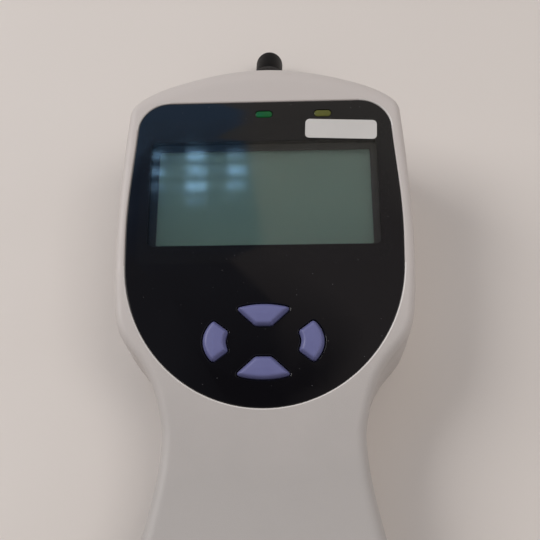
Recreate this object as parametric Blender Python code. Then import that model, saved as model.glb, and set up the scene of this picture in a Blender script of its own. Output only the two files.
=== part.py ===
"""Handheld tympanometer lying on its back.

The probe points along +Y, the keypad faces +Z and the back rests on the plane z = 0.
All lengths are in metres and all angles in degrees.
"""
import math

import bmesh
import bpy
from mathutils import Matrix, Vector

# Body. Its width, length and height follow from what it holds.
FOOT_SIDE = 0.0070
HANDLE_LENGTH = 0.03672
FACE_TILT = 8.0
PARTING_HEIGHT = 0.013
WALL_DRAFT = 1.6
WALL = 0.0018
FACE_WALL = 0.0036
TOP_SHOULDER = 0.008
HEAD_SHOULDER = 0.0022
HANDLE_SHOULDER = 0.0028
FOOT_SHOULDER = 0.005
BACK_RADIUS = 0.007
INNER_RADIUS = 0.0008

# Clearances
GAP = 0.0003
FINE_GAP = 0.00015
THIN_GAP = 0.00005
OVERRUN = 0.002

# Fascia and what shows through it
FASCIA_SIDE = 0.00345
FASCIA_THICKNESS = 0.0015
FASCIA_INSET = 0.00015
FASCIA_FROM_TOP = 0.0143
EASE_FROM_FASCIA = 0.0003
EASE_OVER_BAY = 0.0021
WINDOW_SIDE = 0.00575
WINDOW_HEIGHT = 0.0303
WINDOW_FROM_EDGE = 0.0120
WINDOW_CORNER = 0.0015
FLOOR_MARGIN = 0.0005
LIGHT_WIDTH = 0.0047
LIGHT_HEIGHT = 0.00195
LIGHT_FROM_EDGE = 0.0037
YELLOW_OFFSET = 0.0163
FILM_THICKNESS = 0.00012
FILM_SIDE = 0.00305
FILM_BELOW_WINDOW = 0.0049
FILM_FROM_EDGE = 0.0052
FILM_CORNER = 0.0030
LABEL_WIDTH = 0.0196
LABEL_HEIGHT = 0.0058
LABEL_FROM_SIDE = 0.00555
LABEL_FROM_EDGE = 0.0089
LABEL_TURN = -2.5
LABEL_CORNER = 0.0012

# Display stack
LCD_SIDE = 0.0016
LCD_END = 0.0012
GLASS_SIDE = 0.0012
GLASS_END = 0.00185
GLASS_THICKNESS = 0.0020
BEZEL_MARGIN = 0.0010
BEZEL_THICKNESS = 0.0005
BACKLIGHT_THICKNESS = 0.0027

# Keys
KEYS_BELOW_WINDOW = 0.0159
FASCIA_BELOW_KEYS = 0.0069
RING_WIDTH = 0.0306
RING_HEIGHT = 0.0192
UP_KEY_HALF = 0.0071
UP_KEY_INNER_HALF = 0.0020
UP_KEY_INNER = 0.0039
SIDE_KEY_CORNER = 0.0127
SIDE_KEY_INNER = 0.0089
SIDE_KEY_INNER_HALF = 0.0025
SIDE_KEY_HOLLOW = 0.0008
KEY_PROUD = 0.0011
KEY_CORNER = 0.0008
KEY_BEVEL = 0.0004
KEY_FLANGE = 0.0008
KEY_FLANGE_THICKNESS = 0.0010
KEY_TRAVEL = 0.0007
MAT_WIDTH = 0.0370
MAT_HEIGHT = 0.0260
MAT_CORNER = 0.0060
MAT_THICKNESS = 0.0010
MAT_SKIRT = 0.0012

# Main board
BOARD_SIDE = 0.0090
BOARD_LOW_WIDTH = 0.0400
BOARD_FROM_EDGE = 0.0025
BOARD_TAPER = 0.0210
BOARD_FROM_END = 0.0033
BOARD_THICKNESS = 0.0016
BOARD_POST_RADIUS = 0.0024
BOARD_POST_FROM_CASE_POST = 0.0050
BOARD_POST_SIDE = 0.0040
BOARD_POST_HIGH = 0.0065
BOARD_POST_OVER_TAPER = 0.0080
LED_WIDTH = 0.0030
LED_HEIGHT = 0.0018
LED_THICKNESS = 0.0014

# Screws
CASE_SCREW_HEAD = 0.0027
CASE_SCREW_HEAD_HEIGHT = 0.0018
CASE_SCREW_SHANK = 0.0012
CASE_SCREW_LENGTH = 0.0168
CASE_SCREW_SINK = 0.0012
CASE_POST_RADIUS = 0.0032
CASE_BOSS_RADIUS = 0.0044
CASE_BOSS_TOP = 0.0100
CASE_HIGH_SIDE = 0.0130
CASE_HIGH_FROM_TOP = 0.0155
CASE_LOW_SIDE = 0.0096
CASE_LOW_OVER_BAY = 0.0195
BOARD_SCREW_HEAD = 0.0019
BOARD_SCREW_HEAD_HEIGHT = 0.0011
BOARD_SCREW_SHANK = 0.0009
BOARD_SCREW_LENGTH = 0.0052
CROSS_WIDTH = 0.0006
CROSS_DEPTH = 0.0007

# Probe
PROBE_ANGLE = 24.0
PROBE_ROOT_HEIGHT = 0.0186
SNOUT_LENGTH = 0.0095
SNOUT_RADIUS = 0.0095
SNOUT_MOUTH_RADIUS = 0.0076
SNOUT_NECK = 0.0020
SNOUT_FLANGE_RADIUS = 0.0108
SNOUT_FLANGE_DEPTH = 0.0082
SNOUT_FLANGE_THICKNESS = 0.0020
PROBE_BODY_RADIUS = 0.0060
PROBE_BODY_BACK = 0.0090
NECK_RADIUS = 0.0044
NECK_LENGTH = 0.0055
TIP_SOCKET_RADIUS = 0.0018
TIP_SOCKET_DEPTH = 0.0030
NOZZLE_RADIUS = 0.0008
NOZZLE_LENGTH = 0.0035
NOZZLE_OFFSET = 0.0030
O_RING_THICKNESS = 0.0009
WASHER_THICKNESS = 0.0008
TIP_FLANGE_THICKNESS = 0.0010
TIP_RADIUS = 0.00085
TIP_BORE = 0.0004
TIP_PLUG = 0.0013
CONE_BASE_RADIUS = 0.0069
CONE_GRIP_LENGTH = 0.0045
CONE_GRIP_RADIUS = 0.0062
CONE_SHOULDER_RADIUS = 0.0058
CONE_SHOULDER_LENGTH = 0.0022
CONE_THROAT_RADIUS = 0.0033
CONE_TAPER_END = 0.0270
CONE_STUB_RADIUS = 0.0017
CONE_STUB_LENGTH = 0.0062
EAR_TIP_RADIUS = 0.0045
EAR_TIP_WALL = 0.0007
EAR_TIP_STEM = 0.0025
EAR_TIP_SKIRT = 0.0116
EAR_TIP_HOLE = 0.0011
EAR_TIP_CENTRE = 0.0321
RECEIVER_WIDTH = 0.0048
RECEIVER_HEIGHT = 0.0030
RECEIVER_LENGTH = 0.0036
RECEIVER_OFFSET = 0.0030
MICROPHONE_RADIUS = 0.0013
MICROPHONE_LENGTH = 0.0024
MICROPHONE_DROP = 0.0036

# Pump, in the rear of the head
PUMP_X = 0.0170
PUMP_CLEARANCE = 0.0004
BOARD_OVER_PUMP = 0.0007
PUMP_FROM_TOP = 0.0290
CYLINDER_RADIUS = 0.0075
CYLINDER_WALL = 0.0011
CYLINDER_END = 0.0015
CYLINDER_LENGTH = 0.0200
PISTON_LENGTH = 0.0100
PISTON_REST = 0.0070
PISTON_FLOOR = 0.0012
PISTON_GROOVE = 0.0008
SCREW_RADIUS = 0.0015
SCREW_REACH = 0.0107
MOTOR_RADIUS = 0.0073
MOTOR_LENGTH = 0.0200
MOTOR_BOSS_RADIUS = 0.0032
BRACKET_THICKNESS = 0.0015
BRACKET_BASE = 0.0010
BRACKET_WIDTH = 0.0170
TUBE_RADIUS = 0.0013
SENSOR_SIZE = 0.0064
SENSOR_THICKNESS = 0.0032
SENSOR_PORT = 0.0012
SENSOR_PORT_LENGTH = 0.0022
SENSOR_X = -0.0150
SENSOR_FROM_EDGE = 0.0130

# Battery bay, in the foot of the handle
CELL_RADIUS = 0.0071
CELL_LENGTH = 0.0505
CELL_NUB_RADIUS = 0.0027
CELL_NUB_LENGTH = 0.0013
CELL_SPACING = 0.0003
CELL_COUNT = 4
CELL_HEADROOM = 0.00375
CELL_EDGE = 0.0005
CELL_OVER_COVER = 0.0015
CELL_END_FROM_FOOT = 0.0040
STRIP_THICKNESS = 0.0004
STRIP_WIDTH = 0.0096
STRIP_HEIGHT = 0.0096
STRIP_CORNER = 0.0015
PARTITION = 0.0015
PARTITION_OVER_CELLS = 0.0006
PARTITION_SIDE_GAP = 0.0014
COVER_SIDE = 0.0002
COVER_LIP = 0.0090
TONGUE_WIDTH = 0.0220
TONGUE_LENGTH = 0.0028
TONGUE_THICKNESS = 0.0012
GRIP_WIDTH = 0.0200
GRIP_DEPTH = 0.0005
GRIP_PITCH = 0.0024
GRIP_COUNT = 5
GRIP_FROM_TOP = 0.0080
INFRARED_WIDTH = 0.0120
INFRARED_HEIGHT = 0.0040
INFRARED_THICKNESS = 0.0013
INFRARED_CENTRE = 0.0166

# Knots of the right half outline, from the top end to the foot: share of the half width,
# share of the length, heading in degrees from +X towards the foot, and steps to the next knot.
BODY_SHARES = (
    (0.0, 0.0, 0.0, 4),
    (0.6150, 0.0203, 18.3, 6),
    (0.9638, 0.0865, 86.0, 3),
    (1.0, 0.2632, 90.0, 2),
    (0.9805, 0.3684, 95.7, 2),
    (0.9344, 0.4147, 115.4, 2),
    (0.7650, 0.4619, 123.9, 3),
    (0.6458, 0.5274, 102.0, 2),
    (0.6320, 0.5501, 90.0, 3),
    (0.7204, 0.6705, 77.0, 1),
    (0.7775, 0.7132, 73.5, 2),
    (0.8725, 0.7868, 80.0, 2),
    (0.9000, 0.8526, 90.0, 1),
    (0.9000, 0.9447, 90.0, 5),
    (0.6450, 0.9958, 176.5, 1),
    (0.0, 1.0, 180.0, 0),
)

# The same for the fascia, in shares of its own half width and length.
FASCIA_SHARES = (
    (0.0, 0.0, 0.0, 1),
    (0.7223, 0.0, 0.0, 5),
    (0.9549, 0.0949, 87.0, 2),
    (1.0, 0.4270, 90.0, 1),
    (0.9918, 0.5635, 92.0, 12),
    (0.0, 1.0, 180.0, 0),
)

# The side shoulder changes from the head's radius to the handle's between these shares,
# and the foot's own radius starts at the last one.
SHOULDER_SHARES = (0.40, 0.55)
FOOT_SHARE = 0.90

# The air tube's route, in shares between the pump nozzle (0) and the probe nozzle (1).
TUBE_SHARES = (
    (0.00, 0.00, 0.00),
    (0.00, 0.25, 0.00),
    (0.10, 0.55, 0.12),
    (0.45, 0.72, 0.60),
    (0.85, 0.66, 1.10),
    (1.00, 0.72, 1.17),
)
TUBE_STEPS = 4

TURN_STEPS = 24
SMALL_STEPS = 12
CELL_STEPS = 16
ARC_STEPS = 4
SHARP_ANGLE = 35
STRAIGHT_ANGLE = 150

TILT = math.radians(FACE_TILT)
BETA = math.radians(PROBE_ANGLE)
RISE = math.tan(TILT)

# Along the body: the head's face, the handle and the battery bay add up to its length.
RING_FROM_EDGE = WINDOW_FROM_EDGE + WINDOW_HEIGHT + KEYS_BELOW_WINDOW + RING_HEIGHT / 2
FASCIA_LENGTH = RING_FROM_EDGE + RING_HEIGHT / 2 + FASCIA_BELOW_KEYS
FASCIA_END = FASCIA_FROM_TOP + FASCIA_LENGTH * math.cos(TILT)
BAY_LENGTH = CELL_END_FROM_FOOT + CELL_LENGTH + 2 * GAP + STRIP_THICKNESS
BODY_LENGTH = FASCIA_END + HANDLE_LENGTH + BAY_LENGTH
PROBE_REACH = EAR_TIP_CENTRE * math.cos(BETA) + EAR_TIP_RADIUS
BODY_BOTTOM = -(BODY_LENGTH + PROBE_REACH) / 2
BODY_TOP = BODY_BOTTOM + BODY_LENGTH
BAY_TOP = BODY_BOTTOM + BAY_LENGTH

# Across the body: the cells set the foot's width, and the outline's shares set the rest.
CELL_PITCH = 2 * CELL_RADIUS + CELL_SPACING
FOOT_WIDTH = CELL_COUNT * CELL_PITCH + 2 * FOOT_SIDE
FOOT_WIDTH_SHARE = BODY_SHARES[12][0]
WAIST_SHARE = BODY_SHARES[8][0]
BODY_WIDTH = FOOT_WIDTH / FOOT_WIDTH_SHARE
COVER_WIDTH = CELL_COUNT * CELL_PITCH + 2 * COVER_SIDE
FASCIA_WIDTH = BODY_WIDTH - 2 * FASCIA_SIDE
WINDOW_WIDTH = FASCIA_WIDTH - 2 * WINDOW_SIDE
FILM_WIDTH = FASCIA_WIDTH - 2 * FILM_SIDE
FILM_HEIGHT = WINDOW_FROM_EDGE + WINDOW_HEIGHT + FILM_BELOW_WINDOW - FILM_FROM_EDGE
LABEL_OFFSET = (FASCIA_WIDTH - LABEL_WIDTH) / 2 - LABEL_FROM_SIDE
LCD_WIDTH = WINDOW_WIDTH - 2 * LCD_SIDE
LCD_HEIGHT = WINDOW_HEIGHT - 2 * LCD_END
GLASS_WIDTH = WINDOW_WIDTH + 2 * GLASS_SIDE
GLASS_HEIGHT = WINDOW_HEIGHT + 2 * GLASS_END
BEZEL_WIDTH = GLASS_WIDTH + 2 * BEZEL_MARGIN
BEZEL_HEIGHT = GLASS_HEIGHT + 2 * BEZEL_MARGIN
BOARD_WIDTH = BODY_WIDTH - 2 * BOARD_SIDE
BOARD_END = FASCIA_LENGTH - BOARD_FROM_END
BOARD_TAPER_START = BOARD_END - BOARD_TAPER
CASE_HIGH_X = BODY_WIDTH / 2 - CASE_HIGH_SIDE
CASE_LOW_X = BODY_WIDTH / 2 * WAIST_SHARE - CASE_LOW_SIDE
BOARD_HIGH_X = CASE_HIGH_X - BOARD_POST_FROM_CASE_POST
BOARD_LOW_X = BOARD_WIDTH / 2 - BOARD_POST_SIDE
BOARD_POST_LOW = BOARD_TAPER_START - BOARD_POST_OVER_TAPER

# Into the body: the layers under the face, then the height that the cells and the pump need.
RECESS_DEPTH = FASCIA_INSET + FASCIA_THICKNESS + GAP
BEZEL_TOP = FACE_WALL + GAP
GLASS_TOP = BEZEL_TOP + BEZEL_THICKNESS + GAP
BACKLIGHT_TOP = GLASS_TOP + GLASS_THICKNESS + GAP
BOARD_TOP = BACKLIGHT_TOP + BACKLIGHT_THICKNESS + GAP
BOARD_BACK = BOARD_TOP + BOARD_THICKNESS
WINDOW_CENTRE = WINDOW_FROM_EDGE + WINDOW_HEIGHT / 2
CELL_CENTRE = WALL + CELL_OVER_COVER + CELL_RADIUS
PUMP_HEIGHT = WALL + GAP + BRACKET_BASE + PUMP_CLEARANCE + CYLINDER_RADIUS
PUMP_LENGTH = CYLINDER_LENGTH + 2 * GAP + BRACKET_THICKNESS + MOTOR_LENGTH
PEAK = BODY_TOP - TOP_SHOULDER
EASE_HIGH = BODY_TOP - FASCIA_END - EASE_FROM_FASCIA
EASE_LOW = BAY_TOP + EASE_OVER_BAY
FOOT_RISE = (PEAK - EASE_HIGH + (EASE_HIGH - EASE_LOW) / 2) * RISE
PUMP_RISE = (PEAK - (BODY_TOP - PUMP_FROM_TOP - PUMP_LENGTH)) * RISE
FACE_PEAK = max(CELL_CENTRE + CELL_RADIUS + CELL_HEADROOM + FACE_WALL + FOOT_RISE,
                PUMP_HEIGHT + MOTOR_RADIUS + BOARD_OVER_PUMP + BOARD_BACK / math.cos(TILT) + PUMP_RISE)

COLOURS = {
    "casing": ((0.52, 0.47, 0.45, 1), 0.55, 0.0),
    "fascia": ((0.012, 0.012, 0.015, 1), 0.12, 0.0),
    "clear": ((0.75, 0.80, 0.80, 1), 0.05, 0.0),
    "label": ((0.78, 0.77, 0.75, 1), 0.6, 0.0),
    "key": ((0.15, 0.16, 0.38, 1), 0.5, 0.0),
    "green": ((0.02, 0.30, 0.09, 1), 0.2, 0.0),
    "yellow": ((0.32, 0.32, 0.06, 1), 0.2, 0.0),
    "black": ((0.015, 0.014, 0.016, 1), 0.5, 0.0),
    "smoke": ((0.03, 0.01, 0.02, 1), 0.1, 0.0),
    "steel": ((0.55, 0.55, 0.56, 1), 0.3, 1.0),
    "brass": ((0.70, 0.55, 0.25, 1), 0.3, 1.0),
    "board": ((0.02, 0.16, 0.07, 1), 0.4, 0.0),
    "display": ((0.17, 0.20, 0.16, 1), 0.2, 0.0),
    "white": ((0.75, 0.76, 0.74, 1), 0.5, 0.0),
    "silicone": ((0.30, 0.31, 0.33, 1), 0.6, 0.0),
    "cell": ((0.10, 0.12, 0.30, 1), 0.3, 0.3),
}


def clear_scene():
    for item in list(bpy.data.objects):
        bpy.data.objects.remove(item, do_unlink=True)


def material(key):
    found = bpy.data.materials.get(key)
    if found:
        return found
    colour, roughness, metallic = COLOURS[key]
    made = bpy.data.materials.new(key)
    made.use_nodes = True
    shader = made.node_tree.nodes["Principled BSDF"]
    shader.inputs["Base Color"].default_value = colour
    shader.inputs["Roughness"].default_value = roughness
    shader.inputs["Metallic"].default_value = metallic
    made.diffuse_color = colour
    return made


def add_object(name, bm, key, frame=None, smooth=False):
    """Turn a bmesh into a named object with its own material, placed by a frame."""
    bmesh.ops.recalc_face_normals(bm, faces=bm.faces)
    mesh = bpy.data.meshes.new(name)
    bm.to_mesh(mesh)
    bm.free()
    if smooth:
        mesh.shade_smooth()
        mesh.set_sharp_from_angle(angle=math.radians(SHARP_ANGLE))
    mesh.materials.append(material(key))
    made = bpy.data.objects.new(name, mesh)
    bpy.context.collection.objects.link(made)
    if frame is not None:
        made.parent = frame
    return made


def add_frame(name, matrix):
    """An empty that carries pieces built in their own axes."""
    empty = bpy.data.objects.new(name, None)
    bpy.context.collection.objects.link(empty)
    empty.matrix_world = matrix
    return empty


def combine(target, tool, operation):
    tool.hide_render = True
    tool.display_type = "WIRE"
    step = target.modifiers.new(operation.lower(), "BOOLEAN")
    step.object = tool
    step.operation = operation
    step.solver = "EXACT"
    return tool


def cut(target, tool):
    return combine(target, tool, "DIFFERENCE")


def fuse(target, tool):
    return combine(target, tool, "UNION")


def prism(name, outline, low, high, key, frame=None):
    """A closed outline in X and Y, extruded from low to high along Z."""
    bm = bmesh.new()
    face = bm.faces.new([bm.verts.new((x, y, low)) for x, y in outline])
    grown = bmesh.ops.extrude_face_region(bm, geom=[face])
    lifted = [item for item in grown["geom"] if isinstance(item, bmesh.types.BMVert)]
    bmesh.ops.translate(bm, verts=lifted, vec=(0, 0, high - low))
    return add_object(name, bm, key, frame)


def box(name, low, high, key, frame=None):
    corners = ((low[0], low[1]), (high[0], low[1]), (high[0], high[1]), (low[0], high[1]))
    return prism(name, corners, low[2], high[2], key, frame)


def turned(name, profile, key, frame=None, steps=TURN_STEPS):
    """A closed profile of (radius, height) points, spun about Z."""
    bm = bmesh.new()
    points = [bm.verts.new((radius, 0, height)) for radius, height in profile]
    edges = [bm.edges.new((a, b)) for a, b in zip(points, points[1:] + points[:1])]
    bmesh.ops.spin(bm, geom=points + edges, cent=(0, 0, 0), axis=(0, 0, 1),
                   angle=math.tau, steps=steps, use_merge=True)
    bmesh.ops.remove_doubles(bm, verts=bm.verts, dist=THIN_GAP / TURN_STEPS)
    bmesh.ops.dissolve_degenerate(bm, edges=bm.edges, dist=THIN_GAP / TURN_STEPS)
    loose = [edge for edge in bm.edges if not edge.link_faces]
    bmesh.ops.delete(bm, geom=loose, context="EDGES")
    return add_object(name, bm, key, frame, smooth=True)


def solid_profile(pairs):
    """Close a run of (radius, height) pairs onto the axis."""
    return [(0, pairs[0][1]), *pairs, (0, pairs[-1][1])]


def rounded_rectangle(width, height, corner, centre=(0, 0), steps=ARC_STEPS):
    points = []
    for quarter, (sx, sy) in enumerate(((1, 1), (-1, 1), (-1, -1), (1, -1))):
        cx = centre[0] + sx * (width / 2 - corner)
        cy = centre[1] + sy * (height / 2 - corner)
        for step in range(steps + 1):
            turn = math.radians(90) * (quarter + step / steps)
            points.append((cx + corner * math.cos(turn), cy + corner * math.sin(turn)))
    return points


def round_corners(points, radius, steps=2):
    """Replace each corner of a polygon by a short arc-like fillet."""
    rounded = []
    for index, here in enumerate(points):
        before = Vector(points[index - 1])
        after = Vector(points[(index + 1) % len(points)])
        here = Vector(here)
        back = (before - here)
        onward = (after - here)
        if back.angle(onward) > math.radians(STRAIGHT_ANGLE):
            rounded.append(tuple(here))
            continue
        reach = min(radius, back.length / 2, onward.length / 2)
        start = here + back.normalized() * reach
        end = here + onward.normalized() * reach
        for step in range(steps + 1):
            share = step / steps
            first = start.lerp(here, share)
            second = here.lerp(end, share)
            rounded.append(tuple(first.lerp(second, share)))
    return rounded


def knot_curve(shares, half_width, length):
    """Points and outward normals along smooth arcs between the knots of a half outline."""
    points = []
    for here, onward in zip(shares, shares[1:]):
        start = Vector((here[0] * half_width, here[1] * length))
        end = Vector((onward[0] * half_width, onward[1] * length))
        turn = math.radians(abs(onward[2] - here[2]))
        chord = (end - start).length
        handle = chord / 3
        if turn > math.radians(1):
            handle = math.tan(turn / 4) * 4 / 3 * chord / (2 * math.sin(turn / 2))
        leave = Vector((math.cos(math.radians(here[2])), math.sin(math.radians(here[2]))))
        arrive = Vector((math.cos(math.radians(onward[2])), math.sin(math.radians(onward[2]))))
        for step in range(here[3]):
            t = step / here[3]
            a, b, c, d = start, start + leave * handle, end - arrive * handle, end
            place = a * (1 - t) ** 3 + b * 3 * t * (1 - t) ** 2 + c * 3 * t * t * (1 - t) + d * t ** 3
            slope = (b - a) * (1 - t) ** 2 + (c - b) * 2 * t * (1 - t) + (d - c) * t * t
            slope.normalize()
            points.append((place.x, place.y, slope.y, -slope.x))
    last = shares[-1]
    points.append((last[0] * half_width, last[1] * length, 0.0, 1.0))
    return points


def full_outline(half, grow=0.0):
    """Both sides of a half outline, grown outwards, with +Y up."""
    right = [(x + nx * grow, -(s + ns * grow)) for x, s, nx, ns in half]
    left = [(-x, y) for x, y in right[-2:0:-1]]
    return right + left


BODY_HALF = knot_curve(BODY_SHARES, BODY_WIDTH / 2, BODY_LENGTH)
FASCIA_HALF = knot_curve(FASCIA_SHARES, FASCIA_WIDTH / 2, FASCIA_LENGTH)


def face_height(y):
    """Height of the front face above the table, at a place along the body."""
    if y >= EASE_HIGH:
        return FACE_PEAK + (y - PEAK) * RISE
    t = max((y - EASE_LOW) / (EASE_HIGH - EASE_LOW), 0)
    eased = 0.5 - (t ** 3 - t ** 4 / 2)
    return FACE_PEAK - (PEAK - EASE_HIGH + (EASE_HIGH - EASE_LOW) * eased) * RISE


def shoulder(s, ns):
    """Radius between face and side wall: wide at the top end, tight beside the fascia."""
    start, finish = SHOULDER_SHARES
    blend = min(max((s / BODY_LENGTH - start) / (finish - start), 0), 1)
    side = HEAD_SHOULDER + (HANDLE_SHOULDER - HEAD_SHOULDER) * blend
    end = TOP_SHOULDER if ns < 0 else FOOT_SHOULDER
    at_end = ns < 0 or s > BODY_LENGTH * FOOT_SHARE
    return side + (end - side) * abs(ns) ** 1.5 if at_end else side


def shell_rings(front, inward):
    """Rings of one casing half, from the parting line to the edge of its face or back."""
    wall = WALL if inward else 0.0
    floor = (FACE_WALL if front else WALL) if inward else 0.0
    steps = 2 if inward else ARC_STEPS
    rings = [[] for _ in range(steps + 2)]
    for x, s, nx, ns in BODY_HALF:
        radius = shoulder(s, ns) if front else BACK_RADIUS
        bend = max(radius - wall, INNER_RADIUS)
        for index in range(steps + 2):
            turn = math.radians(90) * max(index - 1, 0) / steps
            inset = wall + (bend * (1 - math.cos(turn)) if index else 0)
            start = PARTING_HEIGHT + (GAP / 2 if front else -GAP / 2)
            drop = bend * (1 - math.sin(turn))
            draft = 0.0
            if front and index:
                rise = face_height(BODY_TOP - s) - radius - PARTING_HEIGHT
                draft = rise * math.tan(math.radians(WALL_DRAFT))
            px = x - nx * (inset + draft)
            py = BODY_TOP - (s - ns * (inset + draft))
            if index == 0:
                pz = start
            elif front:
                pz = face_height(py) - floor - drop
            else:
                pz = floor + drop
            rings[index].append((px, py, pz))
    return rings


def ring_verts(bm, ring):
    """Right side downwards, then the mirrored left side, as one loop."""
    right = [bm.verts.new(point) for point in ring]
    left = [bm.verts.new((-x, y, z)) for x, y, z in ring[1:-1]]
    return right, left


def loop_of(pair):
    right, left = pair
    return right + left[::-1]


def bridge(bm, first, second):
    a, b = loop_of(first), loop_of(second)
    for index in range(len(a)):
        onward = (index + 1) % len(a)
        bm.faces.new((a[index], a[onward], b[onward], b[index]))


def ladder(bm, pair):
    """Close a loop with strips that run straight across the body."""
    right, left = pair
    bm.faces.new((right[0], right[1], left[0]))
    for index in range(len(left) - 1):
        bm.faces.new((right[index + 1], right[index + 2], left[index + 1], left[index]))
    bm.faces.new((right[-2], right[-1], left[-1]))


def casing_half(name, front, key="casing"):
    bm = bmesh.new()
    outer = [ring_verts(bm, ring) for ring in shell_rings(front, False)]
    inner = [ring_verts(bm, ring) for ring in shell_rings(front, True)]
    for stack in (outer, inner):
        for first, second in zip(stack, stack[1:]):
            bridge(bm, first, second)
        ladder(bm, stack[-1])
    bridge(bm, outer[0], inner[0])
    return add_object(name, bm, key, smooth=True)


def face_frame():
    """Axes of the tilted face: origin at the middle of the fascia's top edge, +Z outwards."""
    y = BODY_TOP - FASCIA_FROM_TOP
    place = Matrix.Translation((0, y, face_height(y)))
    return add_frame("face_axes", place @ Matrix.Rotation(TILT, 4, "X"))


def probe_frame():
    """Axes of the probe: origin where it leaves the top end, +Z along it."""
    place = Matrix.Translation((0, BODY_TOP, PROBE_ROOT_HEIGHT))
    return add_frame("probe_axes", place @ Matrix.Rotation(-(math.radians(90) + BETA), 4, "X"))


def pump_frame():
    """Axes of the pump: origin at the closed end of its cylinder, +Z towards the motor."""
    place = Matrix.Translation((PUMP_X, BODY_TOP - PUMP_FROM_TOP, PUMP_HEIGHT))
    return add_frame("pump_axes", place @ Matrix.Rotation(math.radians(90), 4, "X"))


def ellipse_point(turn):
    return (math.sin(turn) * RING_WIDTH / 2, math.cos(turn) * RING_HEIGHT / 2)


def key_outline(side):
    """Outline about the middle of the ring: side 0 up, 1 right, 2 down, 3 left."""
    if side % 2 == 0:
        reach = math.asin(2 * UP_KEY_HALF / RING_WIDTH)
        turns = [reach * (step / 3 - 1) for step in range(7)]
        points = [ellipse_point(turn) for turn in turns]
        points += [(UP_KEY_INNER_HALF, UP_KEY_INNER), (-UP_KEY_INNER_HALF, UP_KEY_INNER)]
    else:
        reach = math.asin(2 * SIDE_KEY_CORNER / RING_WIDTH)
        turns = [reach + (math.pi - 2 * reach) * step / 6 for step in range(7)]
        points = [ellipse_point(turn) for turn in turns]
        points += [(SIDE_KEY_INNER, -SIDE_KEY_INNER_HALF),
                   (SIDE_KEY_INNER + SIDE_KEY_HOLLOW, 0),
                   (SIDE_KEY_INNER, SIDE_KEY_INNER_HALF)]
    if side == 2:
        points = [(x, -y) for x, y in points[::-1]]
    if side == 3:
        points = [(-x, y) for x, y in points[::-1]]
    return points


def grown(points, amount):
    """Move each side of a polygon outwards by an amount."""
    middle = Vector((sum(x for x, _ in points), sum(y for _, y in points))) / len(points)
    result = []
    for index, here in enumerate(points):
        here = Vector(here)
        back = (here - Vector(points[index - 1])).normalized()
        onward = (Vector(points[(index + 1) % len(points)]) - here).normalized()
        first = Vector((back.y, -back.x))
        second = Vector((onward.y, -onward.x))
        if first.dot(here - middle) < 0 and second.dot(here - middle) < 0:
            first, second = -first, -second
        share = (first + second) / max(1 + first.dot(second), 0.5)
        result.append(tuple(here + share * amount))
    return result


def shifted(points, dx, dy):
    return [(x + dx, y + dy) for x, y in points]


def stadium(width, height, centre):
    return rounded_rectangle(width, height, height / 2, centre, 3)


def light_outline(offset, grow=0.0):
    return stadium(LIGHT_WIDTH + 2 * grow, LIGHT_HEIGHT + 2 * grow, (offset, -LIGHT_FROM_EDGE))


def window_outline(grow=0.0):
    width = WINDOW_WIDTH + 2 * grow
    height = WINDOW_HEIGHT + 2 * grow
    return rounded_rectangle(width, height, WINDOW_CORNER + grow, (0, -WINDOW_CENTRE))


def placed_key(side, grow=0.0):
    shape = round_corners(key_outline(side), KEY_CORNER)
    if grow:
        shape = grown(shape, grow)
    return shifted(shape, 0, -RING_FROM_EDGE)


def post(target, name, x, y, low, high, radius, frame=None):
    tool = turned(name, solid_profile([(radius, low), (radius, high)]), "casing", frame, SMALL_STEPS)
    tool.location = (x, y, 0)
    return fuse(target, tool)


def drill(target, name, x, y, low, high, radius, frame=None):
    tool = turned(name, solid_profile([(radius, low), (radius, high)]), "casing", frame, SMALL_STEPS)
    tool.location = (x, y, 0)
    return cut(target, tool)


def case_screw_places():
    high = BODY_TOP - CASE_HIGH_FROM_TOP
    low = BAY_TOP + CASE_LOW_OVER_BAY
    return ((-CASE_HIGH_X, high), (CASE_HIGH_X, high), (-CASE_LOW_X, low), (CASE_LOW_X, low))


def board_screw_places():
    return ((-BOARD_HIGH_X, -BOARD_POST_HIGH), (BOARD_HIGH_X, -BOARD_POST_HIGH),
            (-BOARD_LOW_X, -BOARD_POST_LOW), (BOARD_LOW_X, -BOARD_POST_LOW))


def front_openings(casing, face):
    """Recess for the fascia and the openings through its floor."""
    recess = prism("recess", full_outline(FASCIA_HALF, FINE_GAP), -RECESS_DEPTH, OVERRUN, "casing", face)
    cut(casing, recess)
    low, high = -FACE_WALL - OVERRUN, -RECESS_DEPTH + OVERRUN
    cut(casing, prism("display_opening", window_outline(FLOOR_MARGIN), low, high, "casing", face))
    for side in range(4):
        cut(casing, prism(f"key_opening_{side}", placed_key(side, GAP), low, high, "casing", face))
    for index, offset in enumerate((0, YELLOW_OFFSET)):
        cut(casing, prism(f"light_opening_{index}", light_outline(offset, GAP), low, high, "casing", face))


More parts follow.
